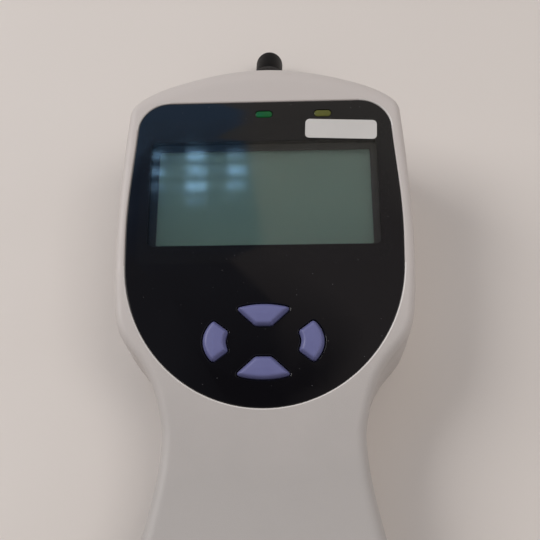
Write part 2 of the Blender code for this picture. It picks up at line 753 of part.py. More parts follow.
def front_casing(face, probe):
    casing = casing_half("front_casing", True)
    front_openings(casing, face)
    bore = turned("front_bore", snout_bore_profile(), "casing", probe)
    cut(casing, bore)
    for index, (x, y) in enumerate(case_screw_places()):
        top = face_height(y) - FACE_WALL + FACE_WALL / 3
        post(casing, f"case_post_{index}", x, y, CASE_BOSS_TOP + GAP, top, CASE_POST_RADIUS)
        hole_end = CASE_SCREW_SINK + CASE_SCREW_HEAD_HEIGHT + CASE_SCREW_LENGTH + GAP
        drill(casing, f"case_pilot_{index}", x, y, 0, hole_end, CASE_SCREW_SHANK + GAP)
    for index, (x, y) in enumerate(board_screw_places()):
        post(casing, f"board_post_{index}", x, y, -BOARD_TOP + GAP, -FACE_WALL + FACE_WALL / 4,
             BOARD_POST_RADIUS, face)
        hole_end = -BOARD_BACK - GAP + BOARD_SCREW_LENGTH + GAP
        drill(casing, f"board_pilot_{index}", x, y, -BOARD_BACK - OVERRUN, hole_end,
              BOARD_SCREW_SHANK + FINE_GAP, face)
    cut(casing, infrared_box("infrared_opening", GAP, OVERRUN))
    return casing


def snout_bore_profile():
    reach = SNOUT_FLANGE_DEPTH - GAP
    return solid_profile([(SNOUT_RADIUS + GAP, -reach), (SNOUT_RADIUS + GAP, SNOUT_LENGTH)])


def infrared_box(name, grow, depth):
    width = INFRARED_WIDTH / 2 + grow
    low = (-width, BODY_BOTTOM - depth + FINE_GAP, INFRARED_CENTRE - INFRARED_HEIGHT / 2 - grow)
    high = (width, BODY_BOTTOM + INFRARED_THICKNESS + depth, INFRARED_CENTRE + INFRARED_HEIGHT / 2 + grow)
    return box(name, low, high, "smoke")


def cover_box(name, grow):
    """Everything of the back and lower end wall that belongs to the battery cover."""
    low = (-COVER_WIDTH / 2 - grow, BODY_BOTTOM - OVERRUN, -OVERRUN)
    high = (COVER_WIDTH / 2 + grow, BAY_TOP + grow, COVER_LIP + grow)
    return box(name, low, high, "casing")


def half_width_at(s):
    """Half width of the body at the parting line, a distance s from the top end."""
    for here, onward in zip(BODY_HALF, BODY_HALF[1:]):
        if here[1] <= s <= onward[1]:
            share = (s - here[1]) / (onward[1] - here[1])
            return here[0] + (onward[0] - here[0]) * share
    return 0.0


def bay_partition(name, y):
    """Wall between the cells and the electronics, shaped to the inside of the casing."""
    s = BODY_TOP - y
    half = half_width_at(s)
    wide = half - WALL / 2
    narrow = half - WALL - PARTITION_SIDE_GAP
    floor = WALL / 2
    top = CELL_CENTRE + CELL_RADIUS + PARTITION_OVER_CELLS
    rim = PARTING_HEIGHT - GAP
    outline = [(-wide + BACK_RADIUS - WALL, floor), (wide - BACK_RADIUS + WALL, floor),
               (wide, BACK_RADIUS + WALL), (wide, rim - GAP), (narrow, rim - GAP), (narrow, top),
               (-narrow, top), (-narrow, rim - GAP), (-wide, rim - GAP), (-wide, BACK_RADIUS + WALL)]
    plate = prism(name, outline, 0, PARTITION, "casing")
    plate.rotation_euler = (math.radians(90), 0, 0)
    plate.location = (0, y + PARTITION, 0)
    return plate


def rear_casing(probe):
    casing = casing_half("rear_casing", False)
    cut(casing, cover_box("cover_opening", GAP))
    fuse(casing, bay_partition("partition", BAY_TOP + 2 * GAP))
    low = (-TONGUE_WIDTH / 2 - GAP, BAY_TOP - OVERRUN, WALL + THIN_GAP)
    high = (TONGUE_WIDTH / 2 + GAP, BAY_TOP + 2 * GAP + PARTITION + OVERRUN,
            WALL + 2 * GAP + TONGUE_THICKNESS)
    cut(casing, box("tongue_slot", low, high, "casing"))
    for index, (x, y) in enumerate(case_screw_places()):
        post(casing, f"boss_{index}", x, y, WALL / 2, CASE_BOSS_TOP, CASE_BOSS_RADIUS)
        seat = CASE_SCREW_SINK + CASE_SCREW_HEAD_HEIGHT + THIN_GAP
        wide, narrow = CASE_SCREW_HEAD + GAP, CASE_SCREW_SHANK + GAP
        profile = solid_profile([(wide, -OVERRUN), (wide, seat), (narrow, seat),
                                 (narrow, CASE_BOSS_TOP + OVERRUN)])
        hole = turned(f"screw_hole_{index}", profile, "casing", None, SMALL_STEPS)
        hole.location = (x, y, 0)
        cut(casing, hole)
    cut(casing, turned("rear_bore", snout_bore_profile(), "casing", probe))
    return casing


def battery_cover():
    """Sliding cover: the back over the cells with the lower part of the end wall."""
    cover = casing_half("battery_cover", False)
    kept = combine(cover, cover_box("cover_limits", 0), "INTERSECT")
    kept.hide_render = True
    edge = BAY_TOP
    low = (-TONGUE_WIDTH / 2, edge - TONGUE_LENGTH, WALL - WALL / 4)
    high = (TONGUE_WIDTH / 2, edge, WALL + GAP + TONGUE_THICKNESS)
    fuse(cover, box("tongue_root", low, high, "casing"))
    low = (-TONGUE_WIDTH / 2, edge - TONGUE_LENGTH / 2, WALL + GAP)
    high = (TONGUE_WIDTH / 2, edge + TONGUE_LENGTH, WALL + GAP + TONGUE_THICKNESS)
    fuse(cover, box("tongue", low, high, "casing"))
    for index in range(GRIP_COUNT):
        y = edge - GRIP_FROM_TOP - index * GRIP_PITCH
        low = (-GRIP_WIDTH / 2, y - GRIP_PITCH / 4, -OVERRUN)
        high = (GRIP_WIDTH / 2, y + GRIP_PITCH / 4, GRIP_DEPTH)
        cut(cover, box(f"grip_{index}", low, high, "casing"))
    return cover


def fascia_panel(face):
    top = -FASCIA_INSET
    low = top - FASCIA_THICKNESS
    panel = prism("fascia_panel", full_outline(FASCIA_HALF), low, top, "fascia", face)
    through = (low - OVERRUN, top + OVERRUN)
    cut(panel, prism("window_cut", window_outline(), *through, "fascia", face))
    for side in range(4):
        cut(panel, prism(f"key_cut_{side}", placed_key(side, GAP), *through, "fascia", face))
    for index, offset in enumerate((0, YELLOW_OFFSET)):
        cut(panel, prism(f"light_cut_{index}", light_outline(offset, FINE_GAP), *through, "fascia", face))
    prism("display_window", window_outline(-FINE_GAP), low, top, "clear", face)


def film_and_label(face):
    low = -FASCIA_INSET + THIN_GAP
    high = low + FILM_THICKNESS
    centre = (0, -FILM_FROM_EDGE - FILM_HEIGHT / 2)
    outline = rounded_rectangle(FILM_WIDTH, FILM_HEIGHT, FILM_CORNER, centre, 2)
    film = prism("display_film", outline, low, high, "clear", face)
    cut(film, prism("film_notch", light_outline(0, GAP), low - OVERRUN, high + OVERRUN, "clear", face))
    label = prism("film_label", rounded_rectangle(LABEL_WIDTH, LABEL_HEIGHT, LABEL_CORNER),
                  high + THIN_GAP, high + THIN_GAP + FILM_THICKNESS, "label", face)
    label.location = (LABEL_OFFSET, -LABEL_FROM_EDGE, 0)
    label.rotation_euler = (0, 0, math.radians(LABEL_TURN))


def key(name, side, face):
    """A cap through the fascia, with a flange that keeps it under the casing's floor."""
    flange_top = -FACE_WALL - GAP
    flange_low = flange_top - KEY_FLANGE_THICKNESS
    top = -FASCIA_INSET + KEY_PROUD
    centre = Vector(ellipse_point(math.radians(90) * side)) * 0.75
    shape = round_corners(key_outline(side), KEY_CORNER)
    shape = shifted(shape, -centre.x, -centre.y)
    bm = bmesh.new()
    levels = ((grown(shape, KEY_FLANGE), flange_low), (grown(shape, KEY_FLANGE), flange_top),
              (shape, flange_top), (shape, top - KEY_BEVEL), (grown(shape, -KEY_BEVEL), top))
    rings = [[bm.verts.new((x, y, z)) for x, y in points] for points, z in levels]
    for first, second in zip(rings, rings[1:]):
        for index in range(len(first)):
            onward = (index + 1) % len(first)
            bm.faces.new((first[index], first[onward], second[onward], second[index]))
    bm.faces.new(rings[0][::-1])
    bm.faces.new(rings[-1])
    cap = add_object(name, bm, "key", face)
    cap.location = (centre.x, centre.y - RING_FROM_EDGE, 0)


def keypad_mat(face):
    top = -FACE_WALL - GAP - KEY_FLANGE_THICKNESS - KEY_TRAVEL - GAP
    low = -BOARD_TOP + GAP
    centre = (0, -RING_FROM_EDGE)
    outline = rounded_rectangle(MAT_WIDTH, MAT_HEIGHT, MAT_CORNER, centre)
    mat = prism("keypad_mat", outline, low, top, "silicone", face)
    inside = rounded_rectangle(MAT_WIDTH - 2 * MAT_SKIRT, MAT_HEIGHT - 2 * MAT_SKIRT,
                               MAT_CORNER - MAT_SKIRT, centre)
    cut(mat, prism("mat_hollow", inside, low - OVERRUN, top - MAT_THICKNESS, "silicone", face))


def light_pipe(name, led_name, offset, key_name, face):
    led_top = -BOARD_TOP + GAP + LED_THICKNESS
    prism(name, light_outline(offset), led_top + GAP, -FASCIA_INSET, key_name, face)
    centre = (offset, -LIGHT_FROM_EDGE)
    outline = rounded_rectangle(LED_WIDTH, LED_HEIGHT, LED_HEIGHT / 8, centre, 1)
    prism(led_name, outline, -BOARD_TOP + GAP, led_top, "white", face)


def display(face):
    centre = (0, -WINDOW_CENTRE)
    frame = box_on("display_bezel", BEZEL_WIDTH, BEZEL_HEIGHT, centre, BEZEL_TOP, BEZEL_THICKNESS,
                   "black", face)
    opening = rounded_rectangle(LCD_WIDTH, LCD_HEIGHT, BEZEL_THICKNESS, centre, 1)
    cut(frame, prism("bezel_opening", opening, -BEZEL_TOP - BEZEL_THICKNESS - OVERRUN,
                     -BEZEL_TOP + OVERRUN, "black", face))
    box_on("display_glass", GLASS_WIDTH, GLASS_HEIGHT, centre, GLASS_TOP, GLASS_THICKNESS, "display", face)
    box_on("display_backlight", GLASS_WIDTH, GLASS_HEIGHT, centre, BACKLIGHT_TOP, BACKLIGHT_THICKNESS,
           "white", face)


def box_on(name, width, height, centre, top, thickness, key_name, frame):
    low = (centre[0] - width / 2, centre[1] - height / 2, -top - thickness)
    high = (centre[0] + width / 2, centre[1] + height / 2, -top)
    return box(name, low, high, key_name, frame)


def main_board(face):
    wide, narrow = BOARD_WIDTH / 2, BOARD_LOW_WIDTH / 2
    outline = [(wide, -BOARD_FROM_EDGE), (-wide, -BOARD_FROM_EDGE), (-wide, -BOARD_TAPER_START),
               (-narrow, -BOARD_END), (narrow, -BOARD_END), (wide, -BOARD_TAPER_START)]
    board = prism("main_board", outline, -BOARD_BACK, -BOARD_TOP, "board", face)
    for index, (x, y) in enumerate(board_screw_places()):
        drill(board, f"board_hole_{index}", x, y, -BOARD_BACK - OVERRUN, -BOARD_TOP + OVERRUN,
              BOARD_SCREW_SHANK + FINE_GAP, face)
    for index, (x, y) in enumerate(case_screw_places()[:2]):
        drill(board, f"board_notch_{index}", x, y, CASE_BOSS_TOP, FACE_PEAK, CASE_POST_RADIUS + GAP)
    centre = (SENSOR_X, -SENSOR_FROM_EDGE)
    top = -BOARD_BACK - GAP
    outline = rounded_rectangle(SENSOR_SIZE, SENSOR_SIZE, SENSOR_SIZE / 10, centre, 1)
    sensor = prism("pressure_sensor", outline, top - SENSOR_THICKNESS, top, "black", face)
    port = turned("sensor_port", solid_profile([(SENSOR_PORT, top - SENSOR_THICKNESS - SENSOR_PORT_LENGTH),
                                                (SENSOR_PORT, top - SENSOR_THICKNESS / 2)]),
                  "black", face, SMALL_STEPS)
    port.location = (*centre, 0)
    fuse(sensor, port)


def screw_mesh(name, head, head_height, shank, length, frame=None):
    """A pan head with a cross recess; the head faces -Z and the shank runs up +Z."""
    chamfer = head_height / 4
    profile = solid_profile([(head - chamfer, 0), (head, chamfer), (head, head_height),
                             (shank, head_height), (shank, head_height + length - shank),
                             (shank / 3, head_height + length)])
    screw = turned(name, profile, "steel", frame, SMALL_STEPS)
    arm = head * 0.6
    for index, (x, y) in enumerate(((arm, CROSS_WIDTH / 2), (CROSS_WIDTH / 2, arm))):
        tool = box(f"{name}_cross_{index}", (-x, -y, -OVERRUN), (x, y, CROSS_DEPTH), "steel", frame)
        cut(screw, tool)
        tool.parent = screw
    return screw


def screws(face):
    for index, (x, y) in enumerate(case_screw_places()):
        screw = screw_mesh(f"case_screw_{index + 1}", CASE_SCREW_HEAD, CASE_SCREW_HEAD_HEIGHT,
                           CASE_SCREW_SHANK, CASE_SCREW_LENGTH)
        screw.location = (x, y, CASE_SCREW_SINK)
    for index, (x, y) in enumerate(board_screw_places()):
        screw = screw_mesh(f"board_screw_{index + 1}", BOARD_SCREW_HEAD, BOARD_SCREW_HEAD_HEIGHT,
                           BOARD_SCREW_SHANK, BOARD_SCREW_LENGTH, face)
        screw.location = (x, y, -BOARD_BACK - GAP - BOARD_SCREW_HEAD_HEIGHT)


def probe_parts(probe):
    """Snout, manifold, seals, tip, nose cone and ear tip, all turned about the probe's axis."""
    bore = PROBE_BODY_RADIUS + GAP
    back = -SNOUT_FLANGE_DEPTH
    turned("probe_snout", [
        (bore, back - SNOUT_FLANGE_THICKNESS), (SNOUT_FLANGE_RADIUS, back - SNOUT_FLANGE_THICKNESS),
        (SNOUT_FLANGE_RADIUS, back), (SNOUT_RADIUS, back), (SNOUT_RADIUS, SNOUT_NECK),
        (SNOUT_MOUTH_RADIUS + GAP, SNOUT_LENGTH - GAP), (SNOUT_MOUTH_RADIUS, SNOUT_LENGTH),
        (bore, SNOUT_LENGTH)], "casing", probe)

    neck_end = SNOUT_LENGTH + NECK_LENGTH
    body = turned("probe_body", [
        (0, -PROBE_BODY_BACK), (PROBE_BODY_RADIUS, -PROBE_BODY_BACK), (PROBE_BODY_RADIUS, SNOUT_LENGTH),
        (NECK_RADIUS, SNOUT_LENGTH), (NECK_RADIUS, neck_end), (TIP_SOCKET_RADIUS, neck_end),
        (TIP_SOCKET_RADIUS, neck_end - TIP_SOCKET_DEPTH), (0, neck_end - TIP_SOCKET_DEPTH)],
        "black", probe)
    nozzle = turned("body_nozzle", solid_profile([(NOZZLE_RADIUS, -PROBE_BODY_BACK - NOZZLE_LENGTH),
                                                  (NOZZLE_RADIUS, -PROBE_BODY_BACK + OVERRUN)]),
                    "black", probe, SMALL_STEPS)
    nozzle.location = (NOZZLE_OFFSET, 0, 0)
    fuse(body, nozzle)

    o_ring = SNOUT_LENGTH + GAP
    washer = neck_end + GAP
    section = O_RING_THICKNESS / 2
    turned("probe_o_ring", ring_profile(NECK_RADIUS + GAP + section, o_ring + section, section),
           "black", probe)
    turned("sealing_washer", [(TIP_SOCKET_RADIUS, washer), (NECK_RADIUS, washer),
                              (NECK_RADIUS, washer + WASHER_THICKNESS),
                              (TIP_SOCKET_RADIUS, washer + WASHER_THICKNESS)], "silicone", probe)

    flange = washer + WASHER_THICKNESS + GAP
    plug = TIP_SOCKET_RADIUS - GAP
    stub_end = CONE_TAPER_END + CONE_STUB_LENGTH
    turned("probe_tip", [
        (TIP_BORE, flange - TIP_PLUG), (plug, flange - TIP_PLUG), (plug, flange), (NECK_RADIUS, flange),
        (NECK_RADIUS, flange + TIP_FLANGE_THICKNESS), (TIP_RADIUS, flange + TIP_FLANGE_THICKNESS),
        (TIP_RADIUS, stub_end - GAP), (TIP_BORE, stub_end - GAP)], "silicone", probe, SMALL_STEPS)

    inner = NECK_RADIUS + GAP
    counterbore = inner + O_RING_THICKNESS + GAP
    base = SNOUT_LENGTH + GAP
    shelf = flange + TIP_FLANGE_THICKNESS + GAP
    turned("nose_cone", [
        (counterbore, base), (CONE_BASE_RADIUS - GAP, base), (CONE_BASE_RADIUS, base + GAP),
        (CONE_BASE_RADIUS, base + CONE_GRIP_LENGTH), (CONE_GRIP_RADIUS, base + CONE_GRIP_LENGTH + GAP),
        (CONE_SHOULDER_RADIUS, shelf + GAP), (CONE_THROAT_RADIUS, shelf + CONE_SHOULDER_LENGTH),
        (CONE_STUB_RADIUS * 1.5, CONE_TAPER_END), (CONE_STUB_RADIUS, CONE_TAPER_END + GAP),
        (CONE_STUB_RADIUS, stub_end), (TIP_RADIUS + GAP, stub_end), (TIP_RADIUS + GAP, shelf),
        (inner, shelf), (inner, o_ring + O_RING_THICKNESS + GAP),
        (counterbore, o_ring + O_RING_THICKNESS + GAP)], "black", probe)
    ear_tip(probe, stub_end)


def ring_profile(radius, height, section, steps=8):
    turns = [math.tau * step / steps for step in range(steps)]
    return [(radius + section * math.cos(turn), height + section * math.sin(turn)) for turn in turns]


def ear_tip(probe, stub_end):
    """Mushroom: a hollow stem over the cone's stub, and a dome whose skirt turns back."""
    stem_bore = CONE_STUB_RADIUS + GAP
    base = CONE_TAPER_END + 2 * GAP
    low_turn = math.acos(EAR_TIP_HOLE / EAR_TIP_RADIUS)
    dome = []
    for step in range(7):
        turn = low_turn * (1 - step / 6)
        dome.append((EAR_TIP_RADIUS * math.cos(turn), EAR_TIP_CENTRE + EAR_TIP_RADIUS * math.sin(turn)))
    skirt = EAR_TIP_RADIUS - EAR_TIP_WALL
    rim = EAR_TIP_CENTRE - EAR_TIP_SKIRT
    profile = [(stem_bore, base), (EAR_TIP_STEM, base), (EAR_TIP_STEM, EAR_TIP_CENTRE),
               (skirt - EAR_TIP_WALL / 4, EAR_TIP_CENTRE), (skirt, rim + GAP),
               (skirt + EAR_TIP_WALL / 3, rim), (EAR_TIP_RADIUS - GAP / 3, rim + GAP)]
    profile += dome[::-1]
    profile += [(EAR_TIP_HOLE, stub_end + GAP), (stem_bore, stub_end + GAP)]
    turned("ear_tip", profile, "black", probe)


def probe_electronics(probe):
    top = -PROBE_BODY_BACK - GAP
    low = (-RECEIVER_OFFSET - RECEIVER_WIDTH / 2, -RECEIVER_HEIGHT / 2, top - RECEIVER_LENGTH)
    high = (-RECEIVER_OFFSET + RECEIVER_WIDTH / 2, RECEIVER_HEIGHT / 2, top)
    box("receiver", low, high, "steel", probe)
    profile = solid_profile([(MICROPHONE_RADIUS, top - MICROPHONE_LENGTH), (MICROPHONE_RADIUS, top)])
    microphone = turned("microphone", profile, "steel", probe, SMALL_STEPS)
    microphone.location = (0, MICROPHONE_DROP, 0)


def pump(frame):
    """Syringe pump: cylinder and piston, driven by a screw on the motor's shaft."""
    bore = CYLINDER_RADIUS - CYLINDER_WALL
    cylinder = turned("pump_cylinder", [
        (0, 0), (CYLINDER_RADIUS, 0), (CYLINDER_RADIUS, CYLINDER_LENGTH), (bore, CYLINDER_LENGTH),
        (bore, CYLINDER_END), (0, CYLINDER_END)], "clear", frame)
    profile = solid_profile([(NOZZLE_RADIUS, -NOZZLE_LENGTH), (NOZZLE_RADIUS, CYLINDER_END)])
    nozzle = turned("pump_nozzle", profile, "clear", frame, SMALL_STEPS)
    fuse(cylinder, nozzle)

    outer = bore - GAP
    groove = outer - PISTON_GROOVE
    hole = SCREW_RADIUS + GAP
    ends = [PISTON_REST + PISTON_LENGTH * share for share in (0, 0.15, 0.30, 0.70, 0.85, 1)]
    turned("pump_piston", [
        (0, ends[0]), (outer, ends[0]), (outer, ends[1]), (groove, ends[1] + GAP),
        (groove, ends[2] - GAP), (outer, ends[2]), (outer, ends[3]), (groove, ends[3] + GAP),
        (groove, ends[4] - GAP), (outer, ends[4]), (outer, ends[5]), (hole, ends[5]),
        (hole, ends[0] + PISTON_FLOOR), (0, ends[0] + PISTON_FLOOR)], "black", frame)

    wall_low = CYLINDER_LENGTH + GAP
    wall_high = wall_low + BRACKET_THICKNESS
    motor_low = PUMP_LENGTH - MOTOR_LENGTH
    screw_end = motor_low - GAP
    turned("lead_screw", solid_profile([(SCREW_RADIUS / 2, screw_end - SCREW_REACH - SCREW_RADIUS / 2),
                                        (SCREW_RADIUS, screw_end - SCREW_REACH),
                                        (SCREW_RADIUS, screw_end)]), "steel", frame, SMALL_STEPS)
    turned("pump_motor", solid_profile([
        (MOTOR_RADIUS, motor_low), (MOTOR_RADIUS, motor_low + MOTOR_LENGTH),
        (MOTOR_BOSS_RADIUS, motor_low + MOTOR_LENGTH),
        (MOTOR_BOSS_RADIUS, motor_low + MOTOR_LENGTH + BRACKET_THICKNESS)]), "steel", frame)

    floor = WALL + GAP - PUMP_HEIGHT
    half = BRACKET_WIDTH / 2
    high = (half, floor + BRACKET_BASE, motor_low + MOTOR_LENGTH)
    bracket = box("pump_bracket", (-half, floor, -GAP), high, "steel", frame)
    wall = box("bracket_wall", (-half, floor, wall_low), (half, MOTOR_RADIUS, wall_high), "steel", frame)
    fuse(bracket, wall)
    profile = solid_profile([(SCREW_RADIUS + GAP, wall_low - OVERRUN),
                             (SCREW_RADIUS + GAP, wall_high + OVERRUN)])
    cut(bracket, turned("bracket_hole", profile, "steel", frame, SMALL_STEPS))


def air_tube():
    """Silicone tube from the pump's nozzle to the probe's, clear of the board."""
    start = Vector((PUMP_X, BODY_TOP - PUMP_FROM_TOP + NOZZLE_LENGTH + GAP, PUMP_HEIGHT))
    depth = PROBE_BODY_BACK + NOZZLE_LENGTH + GAP
    end = Vector((NOZZLE_OFFSET, BODY_TOP - depth * math.cos(BETA),
                  PROBE_ROOT_HEIGHT + depth * math.sin(BETA)))
    places = []
    for across, along, up in TUBE_SHARES:
        places.append(Vector((start.x + (end.x - start.x) * across, start.y + (end.y - start.y) * along,
                              start.z + (end.z - start.z) * up)))
    places[-1] = end + Vector((0, -math.cos(BETA), math.sin(BETA))) * TUBE_RADIUS
    places.append(end)
    spline_points = smooth_run(places, TUBE_STEPS)
    curve = bpy.data.curves.new("air_tube", "CURVE")
    curve.dimensions = "3D"
    curve.bevel_depth = TUBE_RADIUS
    curve.bevel_resolution = 1
    curve.use_fill_caps = True
    spline = curve.splines.new("POLY")
    spline.points.add(len(spline_points) - 1)
    for point, place in zip(spline.points, spline_points):
        point.co = (*place, 1)
    curve.materials.append(material("silicone"))
    tube = bpy.data.objects.new("air_tube", curve)
    bpy.context.collection.objects.link(tube)


def smooth_run(places, steps):
    """Catmull-Rom curve through the given places."""
    padded = [places[0] * 2 - places[1], *places, places[-1] * 2 - places[-2]]
    run = []
    for a, b, c, d in zip(padded, padded[1:], padded[2:], padded[3:]):
        for step in range(steps):
            t = step / steps
            run.append(b + (c - a) * t / 2 + (a * 2 - b * 5 + c * 4 - d) * t * t / 2
                       + (b * 3 - a - c * 3 + d) * t ** 3 / 2)
    run.append(places[-1])
    return run


def batteries():
    low = BODY_BOTTOM + CELL_END_FROM_FOOT
    for index in range(CELL_COUNT):
        x = (index - (CELL_COUNT - 1) / 2) * CELL_PITCH
        profile = solid_profile([
            (CELL_RADIUS - CELL_EDGE, 0), (CELL_RADIUS, CELL_EDGE),
            (CELL_RADIUS, CELL_LENGTH - CELL_NUB_LENGTH - CELL_EDGE),
            (CELL_RADIUS - CELL_EDGE, CELL_LENGTH - CELL_NUB_LENGTH),
            (CELL_NUB_RADIUS, CELL_LENGTH - CELL_NUB_LENGTH), (CELL_NUB_RADIUS, CELL_LENGTH)])
        cell = turned(f"battery_cell_{index + 1}", profile, "cell", None, CELL_STEPS)
        upward = index % 2 == 0
        cell.location = (x, low if upward else low + CELL_LENGTH, CELL_CENTRE)
        cell.rotation_euler = (math.radians(-90 if upward else 90), 0, 0)
    bottom = low - GAP - STRIP_THICKNESS
    top = low + CELL_LENGTH + GAP
    strips = (("terminal_positive", -1.5, -1.5, top), ("link_middle", -0.5, 0.5, top),
              ("terminal_negative", 1.5, 1.5, top), ("link_left", -1.5, -0.5, bottom),
              ("link_right", 0.5, 1.5, bottom))
    for name, first, last, y in strips:
        width = (last - first) * CELL_PITCH + STRIP_WIDTH
        centre = ((first + last) / 2 * CELL_PITCH, CELL_CENTRE)
        outline = rounded_rectangle(width, STRIP_HEIGHT, STRIP_CORNER, centre, 2)
        strip = prism(name, outline, -STRIP_THICKNESS, 0, "brass")
        strip.rotation_euler = (math.radians(90), 0, 0)
        strip.location = (0, y, 0)


def build():
    clear_scene()
    face = face_frame()
    probe = probe_frame()
    pump_axes = pump_frame()
    front_casing(face, probe)
    rear_casing(probe)
    battery_cover()
    fascia_panel(face)
    film_and_label(face)
    for side, name in enumerate(("key_up", "key_right", "key_down", "key_left")):
        key(name, side, face)
    keypad_mat(face)
    light_pipe("green_light_pipe", "green_led", 0, "green", face)
    light_pipe("yellow_light_pipe", "yellow_led", YELLOW_OFFSET, "yellow", face)
    display(face)
    main_board(face)
    screws(face)
    probe_parts(probe)
    probe_electronics(probe)
    pump(pump_axes)
    air_tube()
    batteries()
    infrared_box("infrared_window", 0, 0)


build()
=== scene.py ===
import math

import bmesh
import bpy
from mathutils import Matrix, Vector, kdtree
from mathutils.geometry import delaunay_2d_cdt


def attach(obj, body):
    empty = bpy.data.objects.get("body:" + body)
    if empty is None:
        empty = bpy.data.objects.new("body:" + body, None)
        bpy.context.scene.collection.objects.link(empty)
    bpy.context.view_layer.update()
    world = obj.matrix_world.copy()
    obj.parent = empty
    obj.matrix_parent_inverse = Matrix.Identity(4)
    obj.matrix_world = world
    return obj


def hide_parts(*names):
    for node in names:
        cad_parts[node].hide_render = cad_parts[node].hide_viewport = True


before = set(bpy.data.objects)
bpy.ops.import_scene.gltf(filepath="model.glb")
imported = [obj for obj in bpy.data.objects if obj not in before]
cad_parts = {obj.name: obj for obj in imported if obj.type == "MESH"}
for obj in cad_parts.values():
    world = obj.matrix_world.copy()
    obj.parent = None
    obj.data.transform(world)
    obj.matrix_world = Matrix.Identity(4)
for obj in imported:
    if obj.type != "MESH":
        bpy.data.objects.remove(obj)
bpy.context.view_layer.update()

# Camera: held by hand over the keypad side, a little below the display, and turned less than a
# degree. Its place was fitted to the outline of the panel, the display and the keys.
eye = Vector((0.00860, -0.06278, 0.19502))
right = Vector((0.99918, 0.00495, -0.04009))
down = Vector((-0.01281, -0.90242, -0.43067))
ahead = right.cross(down)
lens = bpy.data.cameras.new("camera")
lens.sensor_width = 36.0
lens.lens = 46.61
lens.clip_start = 0.01


def linked(name, data):
    """A new object in the scene."""
    made = bpy.data.objects.new(name, data)
    bpy.context.collection.objects.link(made)
    return made


camera = linked("camera", lens)
camera.matrix_world = Matrix.Translation(eye) @ Matrix((right, -down, -ahead)).transposed().to_4x4()
bpy.context.scene.camera = camera
bpy.context.scene.view_settings.view_transform = "Standard"


# Table: a matt pale worktop. The unit lies on it on its flat back, so the top is at the height
# of the back, and only a soft contact shadow shows.
def node(tree, kind, sockets=(), **settings):
    """Adds a node, sets its settings, and joins or fills its sockets."""
    made = tree.nodes.new(kind)
    for name, value in settings.items():
        setattr(made, name, value)
    for name, value in dict(sockets).items():
        if isinstance(value, bpy.types.NodeSocket):
            tree.links.new(value, made.inputs[name])
        else:
            made.inputs[name].default_value = value
    return made


def coordinates(tree, kind="Object"):
    return node(tree, "ShaderNodeTexCoord").outputs[kind]


def split(tree, vector):
    return node(tree, "ShaderNodeSeparateXYZ", {"Vector": vector}).outputs


def maths(tree, operation, *values):
    """One step of arithmetic on numbers and sockets."""
    return node(tree, "ShaderNodeMath", enumerate(values), operation=operation).outputs[0]


def vectors(tree, operation, *values):
    """One step of arithmetic on vectors."""
    return node(tree, "ShaderNodeVectorMath", enumerate(values), operation=operation).outputs


def noise(tree, place, size, detail=3.0):
    """Noise whose blobs are about this size, in metres."""
    return node(tree, "ShaderNodeTexNoise", {"Vector": place, "Scale": 1 / size, "Detail": detail,
                                             "Roughness": 0.55}).outputs["Fac"]


def spread(tree, value, low, high, start=0.3, end=0.7):
    """Stretches a 0 to 1 value onto low to high."""
    return node(tree, "ShaderNodeMapRange", {"Value": value, "From Min": start, "From Max": end,
                                             "To Min": low, "To Max": high}).outputs["Result"]


def blend(tree, share, first, second, mode="MIX"):
    """Mixes two colours."""
    mix = node(tree, "ShaderNodeMix", data_type="RGBA", blend_type=mode)
    for socket, value in ((mix.inputs[0], share), (mix.inputs[6], first), (mix.inputs[7], second)):
        if isinstance(value, bpy.types.NodeSocket):
            tree.links.new(value, socket)
        else:
            socket.default_value = value if isinstance(value, float) else (*value[:3], 1)
    return mix.outputs[2]


def principled(name, settings):
    """A new material with these shader settings, its tree and its shader."""
    made = bpy.data.materials.new(name)
    made.use_nodes = True
    shader = made.node_tree.nodes["Principled BSDF"]
    for socket, value in settings.items():
        shader.inputs[socket.replace("_", " ")].default_value = value
    return made, made.node_tree, shader


def moulding(name, colour, shade, drift, rough, grain, depth, **settings):
    """A finish whose colour drifts between two tones, with a grain and uneven roughness.

    drift and grain are sizes of the patches and the grain, and depth is the grain's height.
    """
    made, tree, shader = principled(name, settings)
    place = coordinates(tree)
    tone = blend(tree, spread(tree, noise(tree, place, drift), 0.0, 1.0), colour, shade)
    tree.links.new(tone, shader.inputs["Base Color"])
    gloss = spread(tree, noise(tree, place, drift / 4), *rough)
    tree.links.new(gloss, shader.inputs["Roughness"])
    bump = node(tree, "ShaderNodeBump", {"Height": noise(tree, place, grain, 4.0), "Strength": 1.0,
                                         "Distance": depth})
    tree.links.new(bump.outputs["Normal"], shader.inputs["Normal"])
    return made


worktop = moulding("worktop", (0.690, 0.643, 0.610), (0.662, 0.615, 0.583), 0.25, (0.55, 0.7),
                   0.0012, 0.00002)


def level_sheet(name, reach, height, finish):
    """A flat square at this height, facing the part, out to this reach each way."""
    mesh = bpy.data.meshes.new(name)
    corners = [(-reach, -reach, 0), (reach, -reach, 0), (reach, reach, 0), (-reach, reach, 0)]
    mesh.from_pydata(corners, [], [(0, 1, 2, 3) if height < 0 else (3, 2, 1, 0)])
    mesh.materials.append(finish)
    made = linked(name, mesh)
    made.location.z = height
    return made


table = level_sheet("worktop", 1.6, -0.0002, worktop)


# Light: a broad soft key from the upper left, two weaker lamps on the other side, and a dim
# ceiling for the gloss to mirror: warm on the right, cool on the left, dark over the middle.
def lamp(name, place, size, power, colour):
    """A square soft lamp that faces the part."""
    data = bpy.data.lights.new(name, "AREA")
    data.shape = "SQUARE"
    data.size = size
    data.energy = power
    data.color = colour
    made = linked(name, data)
    facing = (-Vector(place)).to_track_quat("-Z", "Y")
    made.matrix_world = Matrix.Translation(place) @ facing.to_matrix().to_4x4()
    return made


